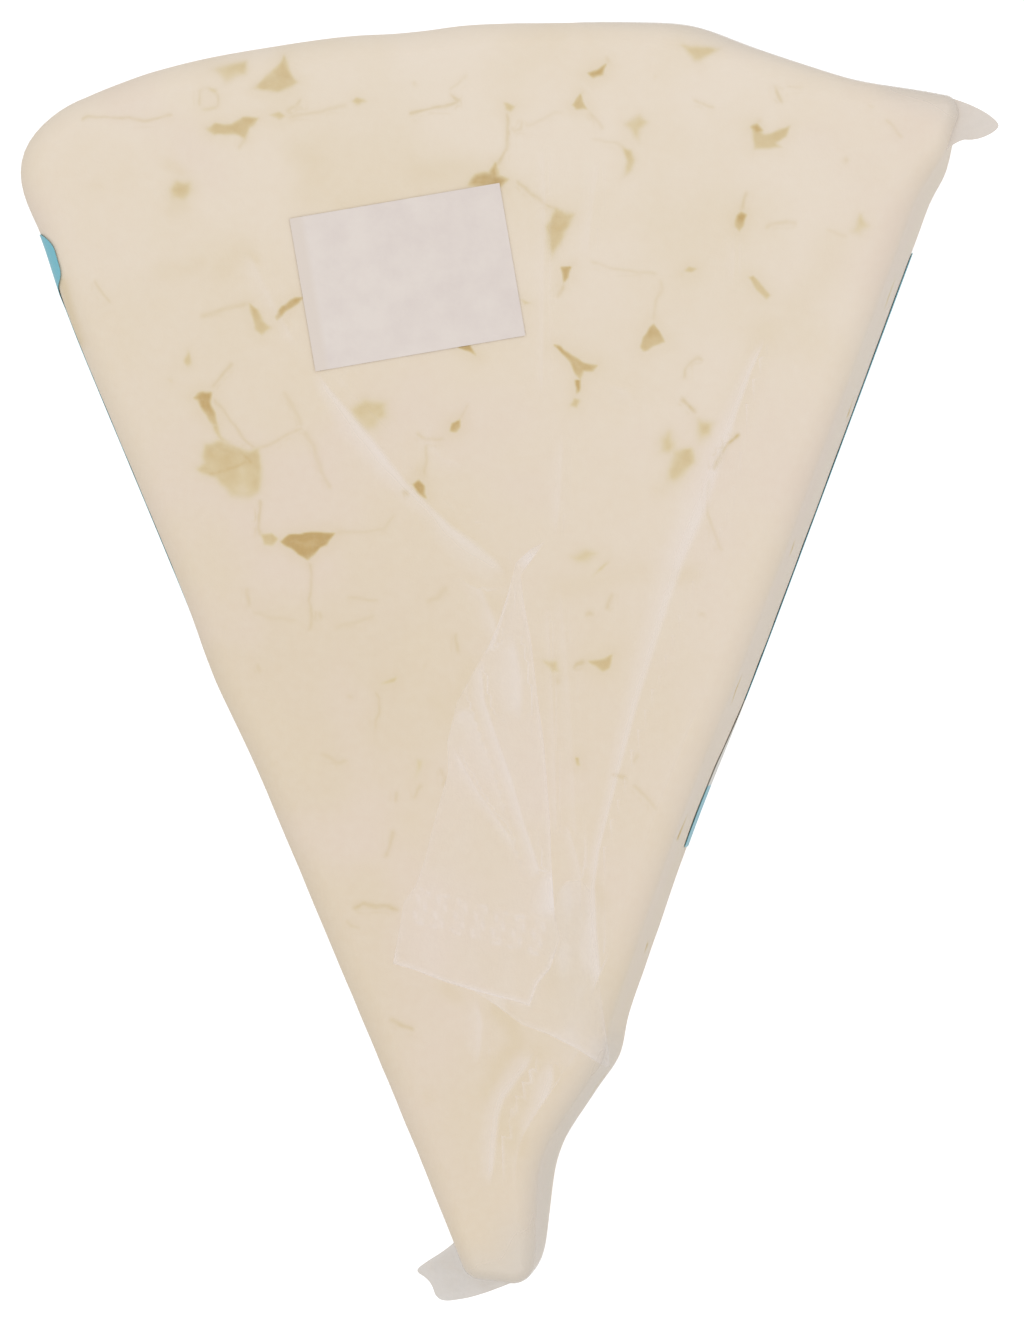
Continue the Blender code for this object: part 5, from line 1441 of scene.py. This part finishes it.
# %% Folds pressed into the flap: (whiteness, height, places with widths)
FLAP_FOLDS = {
    "turned_edge": (0.4, 0.08, [(-2.6, 1, 0.5), (-3.6, -1, 1), (-3.3, -4.1, 1), (-2.1, -7.7, 1),
        (-0.5, -12.2, 1), (0.7, -16.4, 1), (2.4, -21.8, 1.1), (4, -26.4, 0.8)]),
    "first_crease": (0.28, 0.06, [(-6.6, -8.3, 0.6), (-3.9, -13.4, 0.8), (0.8, -20.1, 0.8),
        (4.2, -26.8, 0.6)]),
    "left_panel": (0.3, 0.04, [(-6.5, -7.5, 1), (-4.8, -6, 2.2), (-2.9, -8.6, 2.4), (-1.3, -13.2, 1.6),
        (0.3, -17.4, 0.8)]),
    "ribbon": (0.8, 0.08, [(3.3, 12.3, 0.8), (1.8, 11.4, 1.6), (0.6, 10.2, 1.8), (0.2, 9.3, 1)]),
    "right_edge": (0.4, 0.06, [(0.8, 8, 0.6), (2, 2.1, 0.8), (3.3, -8.4, 0.8), (4, -17.4, 0.9),
        (4.4, -26.1, 0.9)]),
    "corner": (0.75, 0.08, [(4.1, -20.2, 0.6), (3.8, -23, 1.8), (3.6, -25.4, 2.2), (4.2, -27.2, 1.2)]),
    "bulge": (0.4, 0.05, [(-0.7, 3.3, 1.5), (-0.2, -1.9, 2.6), (0.3, -6.5, 1.2)]),
    "upper_left": (0.35, 0.06, [(-0.1, 9, 0.6), (-1, 5.9, 0.9), (-2.1, 2.3, 0.9), (-3.2, -0.3, 0.5)]),
}
print(len(FLAP_FOLDS), "folds in the flap")

# %% Cutting and laying a layer
LAYER_THICKNESS = 0.02
EDGE_WHITE_WIDTH = 0.6
EDGE_WHITE_ENDS = 1.5
SHEET_TOLERANCE = 0.01
ABOVE_ALL = 80
LAYER_WRINKLE = 0.03
FLAP_VEIL = (0.80, 0.715, 0.69, 1)


def cut_sheet(corners, step):
    """A flat sheet with an outline, cut into a grid fine enough to bend."""
    bm = bmesh.new()
    bm.faces.new([bm.verts.new((x, y, 0)) for x, y in corners])
    for axis in (0, 1):
        values = [corner[axis] for corner in corners]
        normal = Vector((0, 0, 0))
        normal[axis] = 1
        for cut in np.arange(min(values) + step / 2, max(values), step):
            geometry = bm.verts[:] + bm.edges[:] + bm.faces[:]
            place = normal * cut
            bmesh.ops.bisect_plane(bm, geom=geometry, dist=SHEET_TOLERANCE, plane_co=place, plane_no=normal)
    bm.normal_update()
    if next(iter(bm.faces)).normal.z < 0:
        bmesh.ops.reverse_faces(bm, faces=bm.faces)
    return bm


def ground(x, y, layers):
    """The height of the topmost layer under a point."""
    hits = [tree.ray_cast(Vector((x, y, ABOVE_ALL)), Vector((0, 0, -1)))[0] for tree in layers]
    return max((hit.z for hit in hits if hit is not None), default=None)


def lay(bm, layers, lifts):
    """Lays a sheet on the topmost of some layers, lifted off it by a length at each point."""
    for vert, lift in zip(bm.verts, lifts):
        vert.co.z = ground(vert.co.x, vert.co.y, layers) + lift


def edge_lines(points, corners, folds, strength):
    """(height, whiteness, place across) of a layer's folds and of the bright line along its edge."""
    rise, white, place = folded(points, folds)
    inside = np.abs(inside_by(points, corners))
    here = strength * eased(EDGE_WHITE_ENDS - inside / EDGE_WHITE_WIDTH)
    stronger = here > white
    white[stronger] = here[stronger]
    place[stronger] = 1 - 2 * inside[stronger] / EDGE_WHITE_WIDTH
    return rise, white, place


def thicken(piece, thickness):
    """Gives a sheet its thickness, upwards from where it lies."""
    modifier = piece.modifiers.new("thickness", "SOLIDIFY")
    modifier.thickness = thickness * MM
    modifier.offset = 1
    return piece


print("layers are", LAYER_THICKNESS, "mm thick")

# %% Second layer, under the flap
UNDER_LIFT = 0.03
UNDER_EDGE = 0.3
UNDER_EDGE_FADES = (-38.0, -33.0)
UNDER_STEP = 0.4
UNDER_WRINKLE_STRETCH = (1, 0.4, 1)
UNDER_WRINKLE_SIZE = 1.8
UNDER_WRINKLE_WHITE = 0.3
under_look = film_material("film_under_flap", FLAP_VEIL, veil=0.05, whitening=0.35, hazing=0.3)
bm = cut_sheet(UNDER_FLAP, UNDER_STEP)
points = coordinates(bm)
flat = points[:, :2]
wrinkle = rough(points * UNDER_WRINKLE_STRETCH, UNDER_WRINKLE_SIZE, seed=4)
lay(bm, [film_top], UNDER_LIFT + LAYER_WRINKLE * (wrinkle + 1))
fading = eased((flat[:, 1] - UNDER_EDGE_FADES[0]) / (UNDER_EDGE_FADES[1] - UNDER_EDGE_FADES[0]))
_, white, place = edge_lines(flat, UNDER_FLAP, {}, UNDER_EDGE * (1 - fading))
crease_and_highlight = UNDER_WRINKLE_WHITE * np.clip(wrinkle * 2, 0, 1)
values = {"fold": white, "fold_place": place, "crease_and_highlight": crease_and_highlight}
under_top = BVHTree.FromBMesh(bm)
under_flap = thicken(to_piece("under_flap", bm, under_look, values), LAYER_THICKNESS)
let_light_through(under_flap)
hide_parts("wrapped_wedge")

# %% Flap
FLAP_LIFT = 0.05
CRIMPS_FROM = Vector((-9.4, -25.2))
CRIMPS_TO = Vector((2.6, -28.4))
CRIMP_COUNT = 7
CRIMP_SIZE = Vector((0.9, 3.4))
CRIMP_TURN = math.radians(-12)
CRIMP_RISE = 0.05
CRIMP_SOFTNESS = 0.3


def crimps(points):
    """1 on the bars pressed into the flap's sealed end, 0 between them."""
    pressed = np.zeros(len(points))
    turn = np.array(Matrix.Rotation(CRIMP_TURN, 2))
    for i in range(CRIMP_COUNT):
        centre = CRIMPS_FROM.lerp(CRIMPS_TO, i / (CRIMP_COUNT - 1))
        local = np.abs((points - np.array(centre)) @ turn)
        outside = np.maximum(local[:, 0] - CRIMP_SIZE.x / 2, local[:, 1] - CRIMP_SIZE.y / 2)
        pressed = np.maximum(pressed, eased(0.5 - outside / CRIMP_SOFTNESS))
    return pressed


FLAP_EDGE = (0.08, 0.4)
FLAP_EDGE_FROM = (-29.0, -31.0)
FLAP_STEP = 0.35
FLAP_WRINKLE_STRETCH = (1, 0.35, 1)
FLAP_WRINKLE_SIZE = 2.4
FLAP_WRINKLE_WHITE = 0.08
CRIMP_WHITE = 0.12
CRIMP_EDGE_WHITE = 1.2
flap_look = film_material("film_flap", FLAP_VEIL, veil=0.07, whitening=0.38, hazing=0.3)
bm = cut_sheet(FLAP, FLAP_STEP)
points = coordinates(bm)
flat = points[:, :2]
at_end = eased((flat[:, 1] - FLAP_EDGE_FROM[0]) / (FLAP_EDGE_FROM[1] - FLAP_EDGE_FROM[0]))
strength = FLAP_EDGE[0] + (FLAP_EDGE[1] - FLAP_EDGE[0]) * at_end
rise, white, place = edge_lines(flat, FLAP, FLAP_FOLDS, strength)
pressed = crimps(flat)
wrinkle = rough(points * FLAP_WRINKLE_STRETCH, FLAP_WRINKLE_SIZE, seed=6)
lift = FLAP_LIFT + rise + CRIMP_RISE * pressed + LAYER_WRINKLE * (wrinkle + 1)
lay(bm, [film_top, under_top], lift)
crease_and_highlight = CRIMP_WHITE * pressed + CRIMP_EDGE_WHITE * pressed * (1 - pressed)
crease_and_highlight += FLAP_WRINKLE_WHITE * np.clip(wrinkle * 2, 0, 1)
values = {"fold": white, "fold_place": place, "crease_and_highlight": crease_and_highlight}
flap = thicken(to_piece("seam_flap", bm, flap_look, values), LAYER_THICKNESS)
let_light_through(flap)
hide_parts("wrapped_wedge")

# %% [markdown]
# ## Spare film at the tip and at the corner
#
# At the tip the spare film is gathered into a crumpled tuft of two layers, and at the back right corner it
# stands out as an ear of one. Crumpled film is far less see-through than film drawn tight. Each layer gets
# its own crumple from smooth noise, and sinks into the wedge inside the outline, so that it grows out of it.

# %% Tuft and ear outlines
TUFT = [
    (-3.0, -58.0),
    (-5.8, -61.2),
    (-7.2, -62.4),
    (-8.9, -63.5),
    (-10.4, -64.6),
    (-9.0, -65.4),
    (-8.4, -66.3),
    (-8.1, -67.3),
    (-7.2, -67.8),
    (-5.4, -67.5),
    (-4.0, -67.2),
    (-1.3, -66.3),
    (1.0, -65.3),
    (1.9, -63.5),
    (1.5, -61.0),
]
EAR = [
    (38.0, 56.0),
    (39.0, 59.3),
    (42.8, 59.2),
    (46.5, 58.2),
    (48.5, 57.3),
    (49.9, 56.4),
    (50.6, 55.5),
    (49.4, 54.6),
    (47.9, 54.1),
    (46.3, 54.2),
    (43.0, 51.5),
]
TUFT_HEIGHT = 5.0
TUFT_DROP = 0.45
EAR_HEIGHT = 28.4
EAR_RISE = 0.12
TUFT_TINT = (0.735, 0.695, 0.655, 1)
EAR_TINT = (0.715, 0.645, 0.580, 1)
SPARE_FADE = (-1.5, 1.0)
ROUNDINGS = 2


def rounded_outline(corners):
    """The outline with each corner cut off twice, which rounds it."""
    for _ in range(ROUNDINGS):
        following = corners[1:] + corners[:1]
        corners = [
            tuple(Vector(here).lerp(Vector(ahead), share))
            for here, ahead in zip(corners, following)
            for share in (0.25, 0.75)
        ]
    return corners


DIVE = 1.2
DIVE_FROM = 0.3
SPARE_STEP = 0.35
LAYER_SPACING = 0.9
CRUMPLE_SIZE = 2.6
FINE_CRUMPLE_SIZE = 0.9
FINE_CRUMPLE = 0.4
CRUMPLE_SEED = 20
FINE_CRUMPLE_SEED = 30
CREASE_WIDTH = 0.09
CREASE_WHITE = 0.15


def crumpled(name, outlines, tint, height_at, crumple):
    """Crumpled layers of film, one above the other, as one piece that fades into the wedge."""
    whole = bmesh.new()
    creases, hazes = [], []
    for number, corners in enumerate(outlines):
        bm = cut_sheet(rounded_outline(corners), SPARE_STEP)
        points = coordinates(bm)
        fine_folds = rough(points, FINE_CRUMPLE_SIZE, FINE_CRUMPLE_SEED + number)
        folds = rough(points, CRUMPLE_SIZE, CRUMPLE_SEED + number) + FINE_CRUMPLE * fine_folds
        outside = -inside_by(points[:, :2], [tuple(corner) for corner in film_rim])
        for vert, fold, beyond in zip(bm.verts, folds, outside):
            sunk = DIVE * max(0.0, -beyond - DIVE_FROM)
            vert.co.z = height_at(vert.co.x) + crumple * fold - LAYER_SPACING * number - sunk
        sharp = np.exp(-((folds / CREASE_WIDTH) ** 2))
        hazes.append(eased((outside - SPARE_FADE[0]) / (SPARE_FADE[1] - SPARE_FADE[0])))
        creases.append(CREASE_WHITE * sharp * hazes[-1])
        layer = bpy.data.meshes.new("layer")
        bm.to_mesh(layer)
        bm.free()
        whole.from_mesh(layer)
        bpy.data.meshes.remove(layer)
    values = {"crease_and_highlight": np.concatenate(creases), "haze_and_shade": np.concatenate(hazes)}
    look = film_material(f"film_{name}", tint, veil=0.01, whitening=0.3, hazing=0.8)
    made = thicken(to_piece(name, whole, look, values), LAYER_THICKNESS)
    let_light_through(made)
    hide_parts("wrapped_wedge")


def shrunk(corners, middle, share):
    """An outline drawn in towards a place."""
    x0, y0 = middle
    return [(x0 + (x - x0) * share, y0 + (y - y0) * share) for x, y in corners]


print("the ear's outline has", len(rounded_outline(EAR)), "corners once rounded")

# %% Tuft
TUFT_INNER_MIDDLE = (-1.0, -62.0)
TUFT_INNER_SHARE = 0.85
TUFT_CRUMPLE = 0.5


def tuft_height(x):
    """The tuft sinks from the wedge towards the table."""
    return TUFT_HEIGHT - TUFT_DROP * max(0.0, TIP_LEFT.x - x)


tuft_layers = [TUFT, shrunk(TUFT, TUFT_INNER_MIDDLE, TUFT_INNER_SHARE)]
crumpled("tip_tuft", tuft_layers, TUFT_TINT, tuft_height, TUFT_CRUMPLE)

# %% Ear
EAR_CRUMPLE = 0.3


def ear_height(x):
    """The ear rises a little as it stands out."""
    return EAR_HEIGHT + EAR_RISE * max(0.0, x - BACK_RIGHT.x)


crumpled("corner_ear", [EAR], EAR_TINT, ear_height, EAR_CRUMPLE)

# %% [markdown]
# ## The price label
#
# A small rectangle of plain paper, stuck on the film while the wedge was being priced, and left blank. It
# follows the film under it, and its corners lift a little. Its own UV map runs over the paper, so that a
# strip of painted shade along its left edge can be placed on it.

# %% Paper material
PAPER = (0.780, 0.700, 0.645, 1)
PAPER_SHADE = (0.735, 0.650, 0.605, 1)
PAPER_EDGE_SHADE = (0.745, 0.655, 0.585, 1)
PAPER_EDGE_SHADE_FADES = (0.075, 0.045)
paper_look, tree, shader = new_material("blank_paper")
fine, mottle = grain(tree, 2600.0, 330.0)
colour = blend(tree, remap(tree, mottle, 0.35, 0.7), PAPER, PAPER_SHADE)
across = add(tree, "SeparateXYZ", {0: add(tree, "TexCoord").outputs["UV"]}).outputs["X"]
# Painted shade: a slightly darker, yellower strip along the paper's left edge.
colour = blend(tree, remap(tree, across, *PAPER_EDGE_SHADE_FADES), colour, PAPER_EDGE_SHADE)
tree.links.new(colour, shader.inputs["Base Color"])
tree.links.new(remap(tree, fine, 0.3, 0.7, 0.55, 0.75), shader.inputs["Roughness"])
add_bump(tree, shader, fine, strength=0.3, distance=0.00005)
print("paper material has", len(tree.nodes), "nodes")

# %% Price label
PAPER_SIZE = Vector((22, 16))
PAPER_CENTRE = Vector((-10.8, 39.8))
PAPER_TURN = math.radians(9.7)
PAPER_THICKNESS = 0.04
PAPER_LIFT = 0.005
CORNER_LIFT = 0.03
CORNER_FROM = 0.86
CORNER_OVER = 0.14
PAPER_CELLS = (66, 48)
SMOOTHINGS = 12
bm = bmesh.new()
bm.loops.layers.uv.new("UVMap")
bmesh.ops.create_grid(bm, x_segments=PAPER_CELLS[0], y_segments=PAPER_CELLS[1], size=0.5, calc_uvs=True)
points = coordinates(bm)
corner_share = eased((np.abs(points[:, 0]) + np.abs(points[:, 1]) - CORNER_FROM) / CORNER_OVER)
bm.transform(Matrix.Diagonal((*PAPER_SIZE, 1, 1)))
bm.transform(Matrix.Translation((*PAPER_CENTRE, 0)) @ Matrix.Rotation(PAPER_TURN, 4, "Z"))
lay(bm, [film_top], PAPER_LIFT + CORNER_LIFT * corner_share)
for _ in range(SMOOTHINGS):
    bmesh.ops.smooth_vert(bm, verts=bm.verts, factor=0.5, use_axis_z=True)
price_paper = thicken(to_piece("price_paper", bm, paper_look), PAPER_THICKNESS)
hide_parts("price_label")

# %% [markdown]
# ## The coloured label
#
# A printed sheet runs under the wedge and a little way up both cut sides. It is cut from the wedge's own
# wall: the walls are made once more, a knife goes round the label's outline as seen from each side, and
# what lies outside it is taken away. The print is a flat teal with plain pale fields, worked out from the
# object's own coordinates, so it needs no picture.

# %% The label's outline
LABEL_FLOOR = -5.0
LABEL_CORNER_STEPS = 7
LABEL_MIDDLE = -4.0


def label_side(edge):
    """The coloured label's outline on one cut side, as (y, height)."""
    corners = [Vector((y, height)) for y, height, _ in edge]
    ends = [Vector((corner.x, LABEL_FLOOR)) for corner in (corners[0], corners[-1])]
    line = [ends[0], *corners, ends[1]]
    profile = [line[0]]
    for i, (_, _, rounding) in enumerate(edge, start=1):
        before, corner, after = line[i - 1 : i + 2]
        profile += rounded_corner(corner, before - corner, after - corner, rounding, LABEL_CORNER_STEPS)
    return profile + [line[-1]]


print("outline on the left side has", len(label_side(LABEL_ON_LEFT)), "points")

# %% Cutting the label out
KNIFE_REACH = 2.0
KNIFE_TOLERANCE = 0.005


def knife(bm, faces, start, end):
    """Cuts faces along the plane through two points of a side view, and returns all their pieces."""
    ahead = end - start
    across = Vector((0, -ahead.y, ahead.x)).normalized()
    along = Vector((0, *ahead.normalized()))
    begin = Vector((0, *start))
    met, spared = [], []
    for face in faces:
        way = (face.calc_center_median() - begin).dot(along)
        aside = abs((face.calc_center_median() - begin).dot(across))
        hit = -KNIFE_REACH < way < ahead.length + KNIFE_REACH and aside < KNIFE_REACH
        (met if hit else spared).append(face)
    edges = dict.fromkeys(edge for face in met for edge in face.edges)
    verts = dict.fromkeys(vert for face in met for vert in face.verts)
    geometry = [*met, *edges, *verts]
    cut = bmesh.ops.bisect_plane(bm, geom=geometry, dist=KNIFE_TOLERANCE, plane_co=begin, plane_no=across)
    return spared + [item for item in cut["geom"] if isinstance(item, bmesh.types.BMFace)]


def keep_inside(bm, faces, profile):
    """Takes away the faces whose middles are outside an outline seen from the side."""
    middles = np.array([face.calc_center_median()[1:] for face in faces])
    inside = inside_by(middles, [tuple(corner) for corner in profile]) > 0
    outside = [face for face, kept in zip(faces, inside) if not kept]
    bmesh.ops.delete(bm, geom=outside, context="FACES")


print("the knife cuts within", KNIFE_REACH, "mm of the label's outline")

# %% Rounded fields of print
MASK_EDGE = 0.0001


def field_group():
    """A node group: 1 inside a rectangle with rounded corners, 0 outside it."""
    group = bpy.data.node_groups.new("rounded_field", "ShaderNodeTree")
    for name in ("Across", "Along", "Half Width", "Half Length", "Rounding"):
        group.interface.new_socket(name, in_out="INPUT", socket_type="NodeSocketFloat")
    group.interface.new_socket("Mask", in_out="OUTPUT", socket_type="NodeSocketFloat")
    given = group.nodes.new("NodeGroupInput").outputs
    out = group.nodes.new("NodeGroupOutput")
    beyond = []
    for way, half in (("Across", "Half Width"), ("Along", "Half Length")):
        inner = maths(group, "SUBTRACT", given[half], given["Rounding"])
        beyond.append(maths(group, "SUBTRACT", maths(group, "ABSOLUTE", given[way]), inner))
    outside = [maths(group, "MAXIMUM", value, 0.0) for value in beyond]
    squares = [maths(group, "MULTIPLY", value, value) for value in outside]
    length = maths(group, "SQRT", maths(group, "ADD", *squares))
    edge = maths(group, "SUBTRACT", length, given["Rounding"])
    group.links.new(remap(group, edge, MASK_EDGE, -MASK_EDGE), out.inputs["Mask"])
    return group


FIELD = field_group()
print("field group has", len(FIELD.nodes), "nodes")

# %% Print material
TEAL = (0.188, 0.515, 0.610, 1)
TEAL_DEEP = (0.150, 0.440, 0.540, 1)
PALE = (0.72, 0.70, 0.64, 1)
# Plain fields of print, each over the ones before it: (middle, half its size, rounding, colour).
FIELDS = [
    ((0, 17), (20, 14), 6, PALE),
    ((0, 17), (17, 11), 4, TEAL_DEEP),
    ((26, -8.5), (12, 4.5), 2, PALE),
]
print_look, tree, shader = new_material("printed_label")
place = add(tree, "SeparateXYZ", {0: add(tree, "TexCoord").outputs["Object"]}).outputs
fine, mottle = grain(tree, 2000.0, 120.0)
colour = blend(tree, remap(tree, mottle, 0.4, 0.7, 0.0, 0.35), TEAL, TEAL_DEEP)


def rounded_field(middle, half_size, rounding):
    """The mask of one rounded field on the label, from above or below."""
    node = add(tree, "Group", node_tree=FIELD)
    tree.links.new(maths(tree, "SUBTRACT", place["X"], middle[0] * MM), node.inputs["Across"])
    tree.links.new(maths(tree, "SUBTRACT", place["Y"], middle[1] * MM), node.inputs["Along"])
    node.inputs["Half Width"].default_value = half_size[0] * MM
    node.inputs["Half Length"].default_value = half_size[1] * MM
    node.inputs["Rounding"].default_value = rounding * MM
    return node.outputs["Mask"]


for middle, half_size, rounding, tint in FIELDS:
    colour = blend(tree, rounded_field(middle, half_size, rounding), colour, tint)
tree.links.new(colour, shader.inputs["Base Color"])
tree.links.new(remap(tree, fine, 0.3, 0.7, 0.3, 0.42), shader.inputs["Roughness"])
add_bump(tree, shader, mottle, strength=0.15, distance=0.0002)
print("print material has", len(tree.nodes), "nodes")

# %% Coloured label
LABEL_THICKNESS = 0.05
LABEL_FOOT = 0.02
bm, cap, _, _ = wedge_walls(0.0, 0.0, LABEL_FOOT, SWELLS)
bmesh.ops.delete(bm, geom=[cap], context="FACES_ONLY")
base = next(face for face in bm.faces if len(face.verts) > 4)
for side, edge in ((-1, LABEL_ON_LEFT), (1, LABEL_ON_RIGHT)):
    profile = label_side(edge)
    walls = [face for face in bm.faces if face is not base]
    walls = [face for face in walls if (face.calc_center_median().x - LABEL_MIDDLE) * side > 0]
    for start, end in zip(profile, profile[1:]):
        walls = knife(bm, walls, start, end)
    keep_inside(bm, walls, profile)
for place, beyond in ((0, 1), (-1, -1)):
    left, right = LABEL_ON_LEFT[place], LABEL_ON_RIGHT[place]
    at_left = [vert.co for vert in base.verts if vert.co.x < LABEL_MIDDLE]
    at_right = [vert.co for vert in base.verts if vert.co.x > LABEL_MIDDLE]
    start = min(at_left, key=lambda corner: abs(corner.y - left[0])).copy()
    end = min(at_right, key=lambda corner: abs(corner.y - right[0])).copy()
    ahead = end - start
    normal = Vector((-ahead.y, ahead.x, 0)).normalized() * beyond
    geometry = [base, *base.edges, *base.verts]
    cut = bmesh.ops.bisect_plane(bm, geom=geometry, dist=SHEET_TOLERANCE, plane_co=start, plane_no=normal)
    pieces = [item for item in cut["geom"] if isinstance(item, bmesh.types.BMFace)]
    gone = [face for face in pieces if (face.calc_center_median() - start).dot(normal) > 0]
    base = max((face for face in pieces if face not in gone), key=lambda face: face.calc_area())
    bmesh.ops.delete(bm, geom=gone, context="FACES")
loose = [vert for vert in bm.verts if not vert.link_faces]
bmesh.ops.delete(bm, geom=loose, context="VERTS")
bmesh.ops.recalc_face_normals(bm, faces=bm.faces)
if base.normal.z > 0:
    bmesh.ops.reverse_faces(bm, faces=bm.faces)
label_print = to_piece("label_print", bm, print_look)
thicken(label_print, LABEL_THICKNESS).modifiers["thickness"].offset = -1
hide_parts("front_label")
